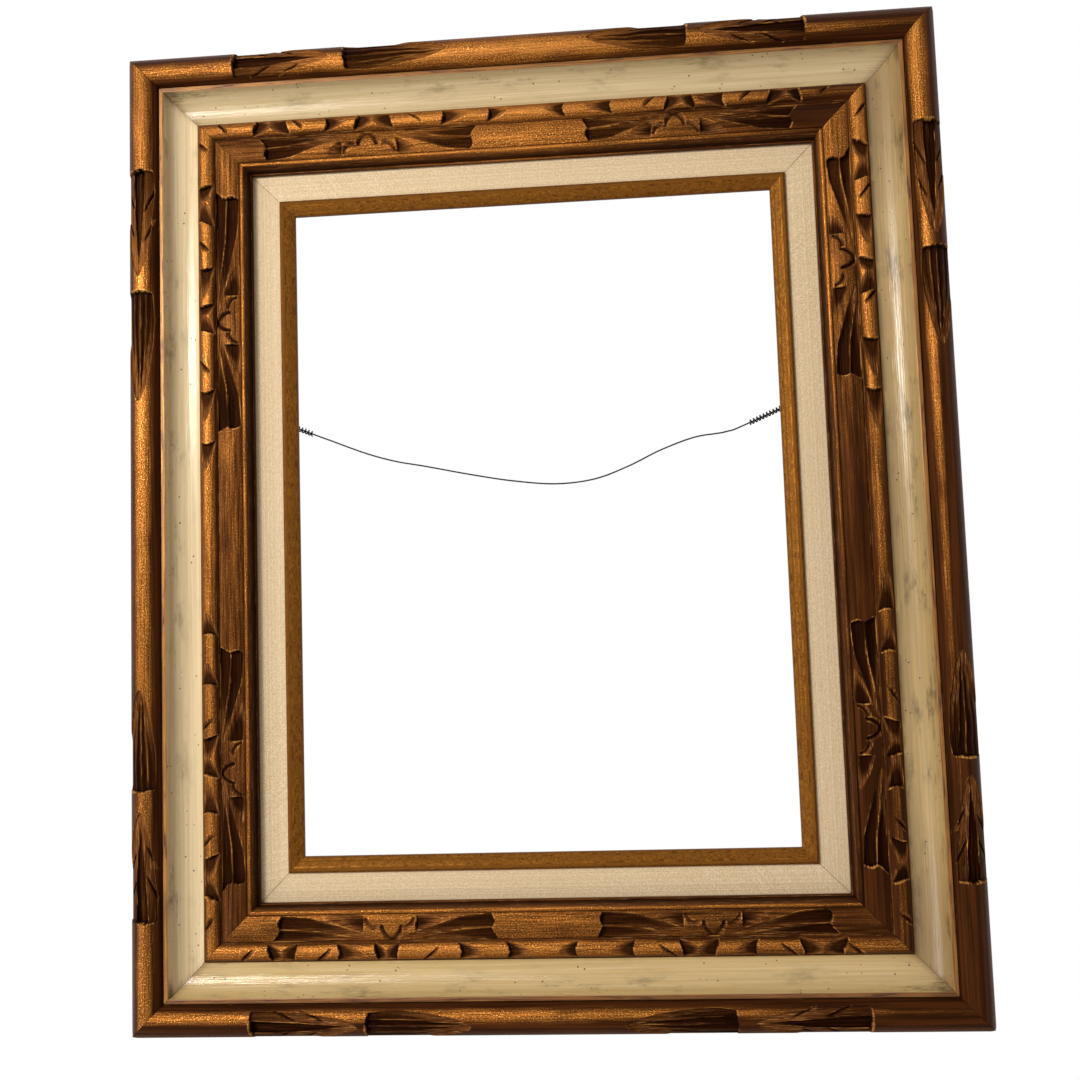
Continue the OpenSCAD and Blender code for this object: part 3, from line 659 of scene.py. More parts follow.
def barbed_leaf(s, offset, stop, tip, seed):
    """A leaf with a deep channel along its middle and two barbs on each side."""
    long = tip - stop
    t = np.clip((s - stop) / long, 0, 1)
    line = offset + 0.35 * wander(s, 9, seed)
    inside = np.clip((leaf_edge(t, 2.3) - np.abs(line)) / 0.8, 0, 1)
    depth = inside * (1.2 + 1.3 * (1 - t))
    channel = 3.6 * np.clip(1 - (t / 0.93) ** 1.7, 0, 1) + 0.05
    depth += 2.7 * (1 - t) ** 0.5 * np.clip((channel - np.abs(line)) / 0.8, 0, 1)
    for spot in (-0.5, 0.4):
        depth += 1.1 * vee(line - spot * channel, 0.9) * np.clip(1 - t / 0.8, 0, 1)
    reach = 0.2 * long
    for number, (share, side) in enumerate([(0.16, 1), (0.42, 1), (0.2, -1), (0.48, -1)]):
        start = stop + share * long + 1.6 * wander(np.array(number * 7.0), 5, seed + 1)
        f = np.clip((s - start) / reach, -0.1, 1.15)
        away = offset * side - (9.0 - 5.2 * f)
        notch = np.clip(1 - np.where(away > 0, away / 0.5, -away / 1.3), 0, 1)
        ends = np.clip((s - start + 1.2) / 1.6, 0, 1) * np.clip((start + reach + 1 - s) / 3, 0, 1)
        depth += 1.6 * notch * ends
    lean = stop + 0.05 * offset + 0.35 * wander(offset, 2.5, seed + 2) + 0.9 * (offset / 9) ** 2
    return depth * np.clip((s - lean) / 0.8, 0, 1) * (s < tip + 1)


def veined_leaf(s, offset, stop, tip, seed):
    """A scoop with four V cuts that spread from its stop, and sharp ridges between them."""
    t = np.clip((s - stop) / (tip - stop), 0, 1)
    line = offset + 0.35 * wander(s, 8, seed)
    half = leaf_edge(t, 2.9) * (0.88 + 0.12 * np.sin(np.pi * np.minimum(1.4 * t, 1)))
    inside = np.clip((half - np.abs(line)) / 0.9, 0, 1)
    depth = inside * (1.3 + 1.4 * (1 - t) ** 0.8)
    for spot, reach, deep in [(-0.7, 0.6, 1.5), (-0.27, 0.95, 2.3), (0.2, 0.88, 2.1), (0.66, 0.64, 1.6)]:
        f = np.clip(t / reach, 0, 1)
        path = spot * half * (1 - 0.25 * f) + 0.3 * wander(s, 6, seed + int(10 * spot))
        depth += deep * vee(line - path, 1.9 * (1 - f) ** 0.7 + 0.15) * (1 - f) ** 0.35 * inside
    lean = stop - 0.04 * offset + 0.35 * wander(offset, 2.5, seed + 3) + 0.7 * (offset / 9) ** 2
    return depth * np.clip((s - lean) / 0.8, 0, 1) * (s < tip + 1)


def carve_roll(key, s, u, h):
    """How deep the roll is cut. The leaves sit a little outside its crest, most of all at the bottom."""
    stop_a, tip_a, stop_b, tip_b = ROLL_LEAVES[key]
    offset = u - ROLL_U
    across = offset - (2.4 if key[0] == "B" else 1.4)
    cut = barbed_leaf(s, across, stop_a, tip_a, seed_of(key))
    cut = np.maximum(cut, veined_leaf(s, across, stop_b, tip_b, seed_of(key) + 50))
    cut = np.where((h > ROLL_H - 0.01) & (np.abs(offset) <= ROLL_R + 0.01), cut, 0)
    return np.minimum(cut, np.clip(0.9 * (h - ROLL_H), 0, None))


def roll_zones(key):
    return [(ROLL_LEAVES[key][0] - 4, ROLL_LEAVES[key][3] + 2)]


# %% The outer frame's rails
# Where the gold lies on the roll (its middle's lean and spread; partly a painted highlight where it catches
# light), how golden and pale the cove is, how much darker and browner it gets (a factor and what is added
# all along), and how worn the fillet is.
OUTER_LOOKS = {
    "top": (-0.3, 0.6, 0.1, 0.2, 0.9, 0.0, 0.7),
    "left": (-0.05, 0.6, 0.0, 0.9, 0.7, 0.0, 0.45),
    "right": (-0.45, 0.55, 0.9, 0.3, 1.2, 1.0, 0.6),
    "bottom": (-0.4, 0.5, 0.8, 0.3, 0.9, 0.0, 0.85),
}


def outer_attributes(side, x, s, u, h):
    """What the shaders read on the outer frame. The cove gets darker and browner toward the mitres."""
    middle, spread, golden, pale, darker_by, darker_all_along, worn = OUTER_LOOKS[side]
    lean = np.arctan2(u - ROLL_U, np.maximum(h - ROLL_H, 0.01))
    # The roll's gold band sits where the roll catches the light: partly a painted highlight.
    on_roll = np.where(h > ROLL_H - 0.1, np.exp(-(((lean - middle) / spread) ** 2)), 0)
    in_cove = (u > COVE_FOOT_U - 0.1) & (u < 76.8)
    # The quirk is given a deep cut so it is painted as shade; the outer side is given one to make it dark
    # and dull.
    quirk = np.where((u > 79.4) & (u < 80.6) & (h < 33), 3.0, 0.0)
    from_mitre = s - (FRAME_WIDTH - u)
    # The cove is darker and browner toward the mitres.
    grime = np.interp(from_mitre, [0, 5, 25, 90, 300], [2.0, 1.3, 0.8, 0.35, 0.5])
    return {
        "crest": np.where(in_cove, ramp(u, 66, 74), on_roll),
        "tone": tone_along(side, x),
        "cut": np.where((u > 98.9) & (h < 30.4), 2.0, quirk),
        "golden": golden,
        "pale": pale,
        "grime": grime * darker_by + darker_all_along,
        "worn": worn,
        "stain depth": 0.85,
    }


how_outer = (OUTER_SECTION, roll_zones, carve_roll, outer_attributes)
build_frame("outer_frame", "outer_rail", "outer_frame_wood", *how_outer)

# %% [markdown]
# ## The carved inner frame
#
# From outside in: a small roll with double bites, thorns and crescents, a valley, a crowned field with a
# lobed leaf on each side of a bud, and a bead. The small roll is cut to fixed depths, because the carver
# sank each bite to the same floor; the field is cut relative to its own surface. `v` is the distance
# inward from the frame's outer edge.

# %% The carved frame's section and marks
SMALL_U, SMALL_H, SMALL_R = 52.25, 23.6, 5.7
BAND_EDGE_U = 58.5
BEAD_U, BEAD_H = 29.9, 25.8
BAND_SECTION = section(
    (BACK_WOOD, [(31.3, 4.0), (31.3, 15.9)]),
    (BRONZE, [(26.0, 15.9), (26.0, 18.3), (26.2, 18.5), (27.0, 18.5), (27.5, 20.8), (28.1, 23.5)]),
    (BRONZE, arc(BEAD_U, BEAD_H, 1.3, 175, 5, 9)),
    (BRONZE, [(31.3, 25.75)]),
    (BRONZE, arc(38.875, 13.22, 14.78, 120.2, 59.8, 36)),
    (BRONZE, [(46.35, 25.5), (46.75, 25.35)]),
    (BRONZE, arc(SMALL_U, SMALL_H, SMALL_R, 161.0, 0, 38)),
    (BRONZE, [(58.2, 23.4), (58.2, 20.2)]),
    (BACK_WOOD, [(62.0, 20.2), (62.0, 4.0)]),
)

# From the outer corner: thorn 1 (foot, tip), bite 1 (stop, ridge, stop), thorn 2, crescent 1 (stop, end),
# bite 2, thorn 3, crescent 2, crescent 3, leaf 1's stop (middle, ends), its two tips, the bud's middle, the
# tongue's two stops, the small leaves' tips, leaf 2's tips, and leaf 2's stop (ends, middle).
BAND_MARKS = {
    "BL": (62, 71, 80, 89, 97.5, 108, 117.5, 120, 134, 144, 151, 158, 171, 181, 192, 204, 220, 232,
           80.5, 87.5, 133, 144, 154, 137.5, 168, 116, 188, 161, 171, 213, 217),
    "BR": (68, 78, 78, 92, 105, 105, 115, 127, 137.5, 151, 162, 173, 173, 184, 197, 209, 230, 239,
           80, 87, 133, 142, 153, 137, 170, 120, 187, 162, 177, 217, 221),
    "TL": (53, 60, 77, 88, 100, 100, 108, 121, 132, 141, 153, 165, 171, 182.5, 194, 209, 222.5, 233,
           79, 85, 130, 132, 149, 133, 167, 124, 181, 167, 173, 213, 217.5),
    "TR": (62, 69, 80, 88, 100, 107, 116, 124, 139, 144, 151, 162, 166, 174, 192, 206, 221, 231,
           81, 87, 122, 143, 156, 141, 170, 125, 185, 165, 175, 209, 213),
    "LT": (52, 59, 81, 92, 107, 115, 122.5, 132, 149, 157, 164, 175, 190, 199, 209, 226, 241, 256,
           83, 90, 152, 161, 168, 152, 182, 133, 200, 176, 186, 233.5, 237.5),
    "LB": (57.5, 67, 77, 90, 104, 107, 115, 126, 143, 149, 160, 174, 176, 183, 202, 214, 232, 244,
           79, 87.5, 145, 147, 151, 137.5, 170, 122, 194, 170, 175, 223, 227.5),
    "RT": (52, 62.5, 77, 90, 102, 102, 112.5, 121, 138, 149, 158, 171, 167.5, 176, 196, 217.5, 226, 248,
           77, 88, 125, 136, 149, 134, 166, 122.5, 183, 167, 176, 218.5, 222.5),
    "RB": (57, 64, 81, 92.5, 106, 108, 118, 132.5, 151, 152, 161, 174, 180, 192, 210, 222.5, 234, 255,
           83, 91, 132, 145, 168, 153, 182, 134, 202, 175, 185, 229, 233),
}
THORNS, BITES, CRESCENTS, LAST_CUT, LEAVES = (0, 5, 12), (2, 9), (7, 14, 16), 17, 18  # where each starts
WALL = 7.0  # how much a cut's floor climbs per millimetre beyond its stop
DEEPEST_H = 20.6


# %% Cuts on the small roll
def bite_floor(s, v, stop_1, ridge, stop_2, seed):
    """Two facets that fall from a ridge to a stop at each end, and flare at their inner tips."""
    far = np.where(s < ridge, ridge - stop_1, stop_2 - ridge)
    reach = far * (0.8 + 0.2 * ramp(v, 4, 10)) + 0.15 * wander(v, 1.5, seed)
    q = np.clip(np.abs(s - ridge) / reach, 0, 1) ** 0.8
    floor = (26.2 + 0.46 * v) * (1 - q) + (24.3 + 0.17 * v) * q
    return floor + WALL * np.clip(np.abs(s - ridge) - reach, 0, None)


def crescent_floor(s, v, stop, end, seed):
    """One facet that starts at a stop bulging into the cut and rises until it runs out."""
    edge = stop + 3.3 * (1 - ((v - 5.5) / 6) ** 2) + 0.12 * wander(v, 1.5, seed)
    f = (s - edge) / max(end - stop, 1)
    floor = (24.6 + 0.15 * v) + np.clip(f, 0, 2) * (2.6 + 0.2 * v)
    return floor + WALL * np.clip(edge - s, 0, None)


def thorn_floor(s, v, foot, tip):
    """A slanted V from the roll's outer edge to a point past its crest, steep on one side."""
    away = s - (foot + (tip - foot) * v / 8.2)
    return 23.8 + 0.52 * v + np.where(away > 0, away * 0.8, -away * 3.2) + 5 * np.clip(v - 8.2, 0, None)


# %% Cuts on the field
def gouge_depth(s, v, path, widths, depths):
    """A round-bottomed gouge along a line of points; widths and depths at its start and end."""
    best = np.zeros(s.shape)
    lengths = [math.dist(a, b) for a, b in zip(path, path[1:])]
    done, total = 0.0, sum(lengths)
    for (s0, v0), (s1, v1), long in zip(path, path[1:], lengths):
        f = np.clip(((s - s0) * (s1 - s0) + (v - v0) * (v1 - v0)) / long**2, 0, 1)
        away = np.hypot(s - s0 - f * (s1 - s0), v - v0 - f * (v1 - v0))
        share = (done + f * long) / total
        half = (widths[0] + (widths[1] - widths[0]) * share**1.8) / 2 + 1e-6
        depth = depths[0] * (1 - share**1.5) + depths[1] * share
        best = np.maximum(best, depth * np.clip(1 - (away / half) ** 2.2, 0, 1) ** 0.75)
        done += long
    return best


def arch_depth(s, v, middle, foot_v, half, rise, deep, inward=0):
    """A V cut along a pointed arch; with `inward` its leg on that side is left off, as on a hook."""
    across, up = np.abs(s - middle) / half, np.clip(foot_v - v, 0, None) / rise
    ring = (across**1.55 + up**1.55) ** (1 / 1.55)
    line = deep * vee(ring - 0.85, 0.2 + 0.12 * np.clip(up, 0, 1)) * np.clip((foot_v + 0.4 - v) / 0.8, 0, 1)
    return line * np.clip(1.2 - (s - middle) * inward / 2.5, 0, 1)


def field_depth(key, s, v, marks):
    """The two lobed leaves, the bud between them, its tongue and the small leaves below."""
    seed = seed_of(key)
    l1_mid, l1_end, tip_1, tip_2, bud, tongue_1, tongue_2, small_1, small_2 = marks[:9]
    tip_3, tip_4, l2_end, l2_mid = marks[9:]
    cuts = []
    for way, middle, ends, upper_tip, lower_tip, tongue, small in [
        (1, l1_mid, l1_end, tip_1, tip_2, tongue_1, small_1),
        (-1, l2_mid, l2_end, tip_4, tip_3, tongue_2, small_2),
    ]:
        long = way * abs(lower_tip - middle)
        stop = middle + (ends - middle) * ramp(v, 11, 16) ** 0.7
        stop = stop - way * 1.3 * np.abs(np.sin(np.pi * (v - 11.3) / 7.4)) + 0.15 * wander(v, 2, seed + way)
        start = middle - way * 6
        upper = [(start, 15.3), (middle + 0.45 * long, 14.9), (upper_tip, 12.4)]
        lower = [(start, 22.8), (middle + 0.38 * long, 21.9)]
        lower += [(middle + 0.72 * long, 17.6), (lower_tip, 13.6)]
        leaf = gouge_depth(s, v, upper, (8.6, 1.4), (4.0, 0.7))
        leaf = np.maximum(leaf, gouge_depth(s, v, lower, (8.6, 1.4), (4.3, 0.7)))
        tail = [(tongue + way * 3, 20.9), ((tongue + small) / 2, 23.6), (small, 25.8)]
        small_leaf = gouge_depth(s, v, tail, (9.5, 1.5), (3.3, 0.2))
        cuts.append(leaf * np.clip((s - stop) * way / 0.8, 0, 1))
        cuts.append(small_leaf * np.clip((tongue - s) * way / 0.9, 0, 1))
        cuts.append(arch_depth(s, v, tongue + way * 6.4, 25.0, 6.6, 6.4, 2.2, way))
    cuts.append(arch_depth(s, v, bud, 21.0, 6.8, 10.2, 2.6))
    return np.maximum.reduce(cuts)


# %% The carved frame's rails
def carve_band(key, s, u, h):
    """How deep the carved frame is cut: to fixed floors on its roll, and from its surface on the field."""
    marks, v, seed = BAND_MARKS[key], BAND_EDGE_U - u, seed_of(key)
    floors = [bite_floor(s, v, *marks[k : k + 3], seed + k) for k in BITES]
    floors += [crescent_floor(s, v, *marks[k : k + 2], seed + k) for k in CRESCENTS]
    floors += [thorn_floor(s, v, *marks[k : k + 2]) for k in THORNS]
    roll_cut = h - np.maximum(np.minimum(h, np.minimum.reduce(floors)), DEEPEST_H)
    field_cut = np.where((u > 31.4) & (u < 46.5), field_depth(key, s, v, marks[LEAVES:]), 0)
    return np.where((u > 46.7) & (h > SMALL_H - 0.5), roll_cut, field_cut)


def band_zones(key):
    return [(BAND_MARKS[key][0] - 4, BAND_MARKS[key][LAST_CUT] + 8)]


BAND_TONE = {"top": -0.3, "left": -0.3, "right": 0.0, "bottom": 0.15}  # more or less gold than on the roll


def band_attributes(side, x, s, u, h):
    """What the shaders read on the carved frame. Later rows of a list paint over earlier ones."""

    def laid(*rows):
        values = np.zeros(u.shape)
        for low_u, high_u, low_h, high_h, value in rows:
            values = np.where((u > low_u) & (u < high_u) & (h > low_h) & (h < high_h), value, values)
        return values

    small_roll = laid((46.6, 99, 0, 99, 1.15 * ramp(h, SMALL_H, SMALL_H + SMALL_R) ** 1.5))
    bead_and_edge = laid((28.3, 31.4, 0, 99, ramp(h, 24.8, 27.0)), (0, 26.5, 18, 99, 0.45))
    # The wall under the bead and the valley by the small roll get cuts, and the wall and the groove between
    # bead and field a stop, so they are painted in shade.
    shaded_wall_and_valley = [(26.8, 28.4, 0, 23, 2.0), (27.8, 28.4, 23, 99, 1.0), (46.3, 47.3, 0, 26.3, 1.6)]
    field_stain_and_shade = 1.15 if side in ("left", "right") else 0.85
    return {
        "crest": small_roll + laid((31, 46.6, 0, 99, 0.7)) + bead_and_edge,
        "tone": tone_along(side, x) + BAND_TONE[side],
        "cut": laid(*shaded_wall_and_valley),
        "stop": laid((26.3, 28.2, 0, 24, 0.55), (31.1, 31.6, 16, 99, 0.75)),
        "stain depth": np.where(u > 46.6, 1.0, field_stain_and_shade),
    }


how_carved = (BAND_SECTION, band_zones, carve_band, band_attributes)
build_frame("carved_frame", "carved_rail", "carved_frame_wood", *how_carved)

# %% [markdown]
# ## Geometry Nodes for what repeats or follows a path
#
# A geometry node tree is a recipe that Blender runs on a simple base, such as a section or a line. The
# recipe has named inputs, so the same one can be used again with other sizes. `grow` runs a recipe once
# and keeps its result as a plain mesh, because a plain mesh is what other programs can read.


# %% Helpers for geometry nodes
def recipe(name, inputs):
    """An empty recipe with named inputs and the material that it ends with."""
    inputs = {"Geometry": "Geometry", **inputs, "Material": "Material"}
    return new_group(name, "GeometryNodeTree", inputs, {"Geometry": "Geometry"})


def close_recipe(geometry, given, end):
    """Every recipe ends the same way: instances become real, and the faces get their material."""
    real = add(geometry.tree, "GeometryNodeRealizeInstances", {0: geometry})
    faced = add(geometry.tree, "GeometryNodeSetMaterial", {"Geometry": real, "Material": given["Material"]})
    feed(end, {"Geometry": faced})


def line_mesh(name, points, closed=False):
    """A base for a recipe: points joined by edges."""
    mesh = bpy.data.meshes.new(name)
    edges = [(k, k + 1) for k in range(len(points) - 1)] + ([(len(points) - 1, 0)] if closed else [])
    mesh.from_pydata([tuple(p) for p in points], edges, [])
    return mesh


def grow(name, tree, base, values, node, body="frame"):
    """Run a recipe on a base, keep what it makes as a plain mesh, and put it in a CAD node's place."""
    holder = bpy.data.objects.new(f"{name}_base", base)
    scene.collection.objects.link(holder)
    modifier = holder.modifiers.new("recipe", "NODES")
    modifier.node_group = tree
    for item in tree.interface.items_tree:
        if item.item_type == "SOCKET" and item.in_out == "INPUT" and item.name in values:
            modifier[item.identifier] = values[item.name]
    bpy.context.view_layer.update()
    mesh = bpy.data.meshes.new_from_object(holder.evaluated_get(bpy.context.evaluated_depsgraph_get()))
    bpy.data.objects.remove(holder)
    work = bmesh.new()
    work.from_mesh(mesh)
    bmesh.ops.remove_doubles(work, verts=work.verts, dist=1e-7)
    bmesh.ops.recalc_face_normals(work, faces=work.faces)
    work.to_mesh(mesh)
    work.free()
    mesh.shade_smooth()
    mesh.set_sharp_from_angle(angle=math.radians(40))
    mesh.name = name
    made = bpy.data.objects.new(name, mesh)
    scene.collection.objects.link(made)
    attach(made, body)
    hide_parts(node)
    print(name, len(mesh.polygons), "faces")
    return made


# %% [markdown]
# ## The liner and its linen
#
# The liner is a flat board with a raised lip round the opening. Linen is glued on the board in four
# strips that meet in mitred seams. Both are mitred sweeps, so both use one recipe: it sweeps a section
# along a line, then puts point `j` of ring `i` where the section and the mitre say. For the linen it also
# lifts every other crossing of the yarns by a hundredth of a millimetre, which is what weaving does, and
# lets the yarns run a little uneven.

# %% Mitred sweep
YARN_DRIFT = 0.00012  # how far a yarn wanders from its place, in metres


def build_mitred_sweep():
    sizes = {"Rings": 2, "Section points": 4, "Run": 0.148, "Reach": 0.198, "Turn": 0.0, "End gap": 0.0}
    weave = {"Yarn pitch": YARN_PITCH, "Weave height": 0.0, "Weave from height": 1.0}
    tree, given, end = recipe("mitred sweep", {**sizes, **weave})
    outline = add(tree, "GeometryNodeMeshToCurve", {0: given["Geometry"]})
    line = add(tree, "GeometryNodeCurvePrimitiveLine", {"End": (1, 0, 0)})
    line = add(tree, "GeometryNodeResampleCurve", {"Curve": line, "Count": given["Rings"]})
    sweep = {"Curve": line, "Profile Curve": outline, "Fill Caps": True}
    swept = add(tree, "GeometryNodeCurveToMesh", sweep)
    index = add(tree, "GeometryNodeInputIndex")
    ring = calculate("FLOOR", index / given["Section points"])
    spot = calculate("MODULO", index, given["Section points"])
    look_up = {"Geometry": given["Geometry"], "Value": add(tree, "GeometryNodeInputPosition"), "Index": spot}
    u, h, _ = split(add(tree, "GeometryNodeSampleIndex", look_up, data_type="FLOAT_VECTOR"))
    share = ring / ((given["Rings"] - 1.0) * 0.5) - 1.0
    x = share * (given["Run"] + u - given["End gap"])
    drift = (noise(xyz(x, u, 0.0), 180.0, 2.0, 0.5) - 0.5) * YARN_DRIFT
    per_yarn = math.pi / given["Yarn pitch"]
    wave_x, wave_u = (calculate("SINE", (at + drift) * per_yarn) for at in (x, u))
    woven = wave_x * wave_u * given["Weave height"]
    lifted = woven * calculate("GREATER_THAN", h, given["Weave from height"])
    spots = xyz(x, (h + lifted) * -1.0, given["Reach"] + u)
    shaped = add(tree, "GeometryNodeSetPosition", {"Geometry": swept, "Position": spots})
    uv = {"Geometry": shaped, "Name": "along_across", "Value": xyz(x, u + h, 0.0)}
    stored = add(tree, "GeometryNodeStoreNamedAttribute", uv, data_type="FLOAT2", domain="CORNER")
    turn = {"Geometry": stored, "Rotation": xyz(0.0, given["Turn"], 0.0)}
    close_recipe(add(tree, "GeometryNodeTransform", turn), given, end)
    return tree


MITRED_SWEEP = build_mitred_sweep()
TURN = {"top": 0.0, "right": math.pi / 2, "bottom": math.pi, "left": -math.pi / 2}


def sweep_rail(name, side, outline, rings, material, node, slot, **values):
    """One rail or strip with the given outline of (u, h) points in millimetres."""
    base = line_mesh(f"{name}_section", [(u / 1000, h / 1000, 0) for u, h in outline], closed=True)
    run = RUN[side] / 1000
    reach = (RUN["top"] + RUN["left"]) / 1000 - run
    values = {**values, "Rings": rings, "Section points": len(outline), "Run": run, "Reach": reach}
    values = {**values, "Turn": TURN[side], "Material": material}
    return grow(name, MITRED_SWEEP, base, values, f"{node}_{side}")


# %% Liner and linen
lip = [(0.0, 11.2), (0.0, 13.7), (0.25, 14.1)]
lip += [(0.25 + 6.6 * k / 8, 14.1 + 3.35 * k / 8 + 0.25 * math.sin(math.pi * k / 8)) for k in range(1, 8)]
lip += [(6.95, 17.55), (7.5, 17.75), (8.1, 17.5), (8.7, 17.05), (9.0, 16.7)]
liner_section = [*lip, (9.0, 15.0), (31.0, 15.0), (31.0, 7.5), (6.0, 7.5), (6.0, 11.0), (0.2, 11.0)]
weave_us = [9.06 + (30.9 - 9.06) * k / 48 for k in range(49)]
linen_section = [(9.02, 15.02), (9.02, 15.3), *[(u, 15.42) for u in weave_us], (30.96, 15.3), (30.96, 15.02)]
WEAVE = {"Weave height": 0.00001, "Weave from height": 0.0154, "End gap": 0.0002}
LINEN_WIDTH, LINER_RINGS, RING_SPACING = 0.022, 90, 0.00045
for side in RUN:
    how_liner = (LINER_RINGS, LIP_GOLD, "liner_rail", "liner_wood")
    liner = sweep_rail(f"liner_{side}", side, liner_section, *how_liner)
    long = 2 * (RUN[side] + 31.0) / 1000
    how_linen = (int(long / RING_SPACING), LINEN, "linen", "liner_linen")
    linen = sweep_rail(f"linen_{side}_strip", side, linen_section, *how_linen, **WEAVE)

# %% [markdown]
# ## Wire and screw eyes
#
# Picture wire is laid from thin strands. The recipe takes a line, makes one copy of it per strand, and
# winds the copies round the line: at a distance `d` along it, a strand has turned by `d / pitch` turns.
# A screw eye is a single thick wire, so the same recipe makes it, with one strand and no winding.
# The route of the wire was read off the photo; its ends go through the eyes and are wrapped round it in
# close turns.


# %% Laid strands
def build_strands():
    sizes = {"Strands": 5, "Strand radius": 0.0002, "Lay radius": 0.0003, "Pitch": 0.005}
    tree, given, end = recipe("laid strands", {**sizes, "Spacing": 0.0006, "Sides": 6})
    line = add(tree, "GeometryNodeMeshToCurve", {0: given["Geometry"]})
    inputs = {"Curve": line, "Length": given["Spacing"]}
    line = add(tree, "GeometryNodeResampleCurve", inputs, mode="LENGTH")
    inputs = {"Geometry": line, "Amount": given["Strands"]}
    copies = add(tree, "GeometryNodeDuplicateElements", inputs, domain="SPLINE")
    turns = add(tree, "GeometryNodeSplineParameter", output="Length") / given["Pitch"]
    angle = (turns + copies.also("Duplicate Index") / given["Strands"]) * (2 * math.pi)
    normal, tangent = add(tree, "GeometryNodeInputNormal"), add(tree, "GeometryNodeInputTangent")

    def scaled(vector, amount):
        return add(tree, "ShaderNodeVectorMath", {0: vector, "Scale": amount}, operation="SCALE")

    sideways = vector_math("CROSS_PRODUCT", tangent, normal)
    outward = (scaled(normal, calculate("COSINE", angle)), scaled(sideways, calculate("SINE", angle)))
    offset = scaled(vector_math("ADD", *outward), given["Lay radius"])
    wound = add(tree, "GeometryNodeSetPosition", {"Geometry": copies, "Offset": offset})
    inputs = {"Resolution": given["Sides"], "Radius": given["Strand radius"]}
    circle = add(tree, "GeometryNodeCurvePrimitiveCircle", inputs)
    sweep = {"Curve": wound, "Profile Curve": circle, "Fill Caps": True}
    close_recipe(add(tree, "GeometryNodeCurveToMesh", sweep), given, end)
    return tree


STRANDS = build_strands()

# %% The wire's route
EYE_X, EYE_Y, EYE_Z = 194.65, 3.1, 86.0
RING_R, BAR_R = 4.4, 1.1  # the screw eye's ring, and the bar that it is bent from
LOOP_R, WRAP_R, WRAP_PITCH = 2.1, 1.35, 2.2  # the loop round the bar, and the turns after it
SETTLE = 13.2  # how far it takes from the loop to the turns
LOOP_Z = EYE_Z - RING_R
ROUTE = [(-143, 62), (-132, 57.5), (-110, 48.5), (-91, 42.5), (-72, 38.5), (-43, 32), (-17, 27), (10, 24),
         (34, 26), (55, 33), (76, 42.5), (97, 49.5), (116, 52), (131, 57)]
ROUTE_END = {-1: ROUTE[0], 1: ROUTE[-1]}


def loop_start(side):
    """Where the wire leaves the loop that goes round the eye's bar, in x and z."""
    end = ROUTE_END[side]
    away = (abs(end[0]) - EYE_X, end[1] - LOOP_Z)
    turn = math.atan2(away[1], -away[0]) - math.asin(LOOP_R / math.hypot(*away))
    return side * (EYE_X + LOOP_R * math.sin(turn)), LOOP_Z + LOOP_R * math.cos(turn)


def through(points, count):
    """A smooth line through all the points (a Catmull-Rom spline)."""
    p = np.array(points, float)
    p = np.vstack([2 * p[0] - p[1], p, 2 * p[-1] - p[-2]])
    along = np.linspace(0, len(points) - 1, count)
    k = np.minimum(along.astype(int), len(points) - 2)
    t = (along - k)[:, None]
    a, b, c, d = p[k], p[k + 1], p[k + 2], p[k + 3]
    return 0.5 * (2 * b + (c - a) * t + (2 * a - 5 * b + 4 * c - d) * t**2 + (3 * b - a - 3 * c + d) * t**3)


def behind(points):
    """Points in x and z, in the plane of the screw eyes, in metres."""
    return np.stack([points[:, 0], np.full(len(points), EYE_Y), points[:, 1]], -1) / 1000


def wrap_line(side):
    """One end of the wire: half a turn round the bar, then its turns round the wire itself."""
    start, end = np.array(loop_start(side)), np.array(ROUTE_END[side], float)
    run = np.linalg.norm(end - start)
    along = (end - start) / run
    centre = np.array((side * EYE_X, LOOP_Z))
    up = (start - centre) / LOOP_R
    a = np.linspace(0, math.pi, 25)[:, None]
    loop = behind(centre + LOOP_R * (np.cos(a) * up - np.sin(a) * along))
    t = (np.arange(1, 9) / 9)[:, None]
    ease = t * t * (3 - 2 * t)
    settle = behind(start + along * SETTLE * t - up * (2 * LOOP_R + (WRAP_R - 2 * LOOP_R) * ease))
    turns = math.floor((run - SETTLE) / WRAP_PITCH)
    a = np.linspace(0, 2 * math.pi * turns, 16 * turns + 1)[:, None]
    curls = behind(start + along * (SETTLE + a / (2 * math.pi) * WRAP_PITCH) - up * WRAP_R * np.cos(a))
    curls[:, 1] += WRAP_R * np.sin(a[:, 0]) / 1000
    return np.vstack([loop, settle, curls])


def length_of(line):
    return float(np.linalg.norm(np.diff(line, axis=0), axis=1).sum())


# %% Wire and wraps
LAY = {"Strands": 5, "Strand radius": 0.00021, "Lay radius": 0.00029, "Pitch": 0.006, "Material": WIRE}
SIDES = [(-1, "left"), (1, "right")]


def laid_wire(name, line, node):
    print(name, "follows a line of", round(length_of(line), 4), "m")
    return grow(name, STRANDS, line_mesh(f"{name}_line", line), LAY, node, "wire")


free_line = behind(through([loop_start(-1), *ROUTE, loop_start(1)], 260))
wire = laid_wire("hanging_wire_strands", free_line, "hanging_wire")
wraps = [laid_wire(f"wrapped_end_{word}", wrap_line(side), f"wire_wrap_{word}") for side, word in SIDES]

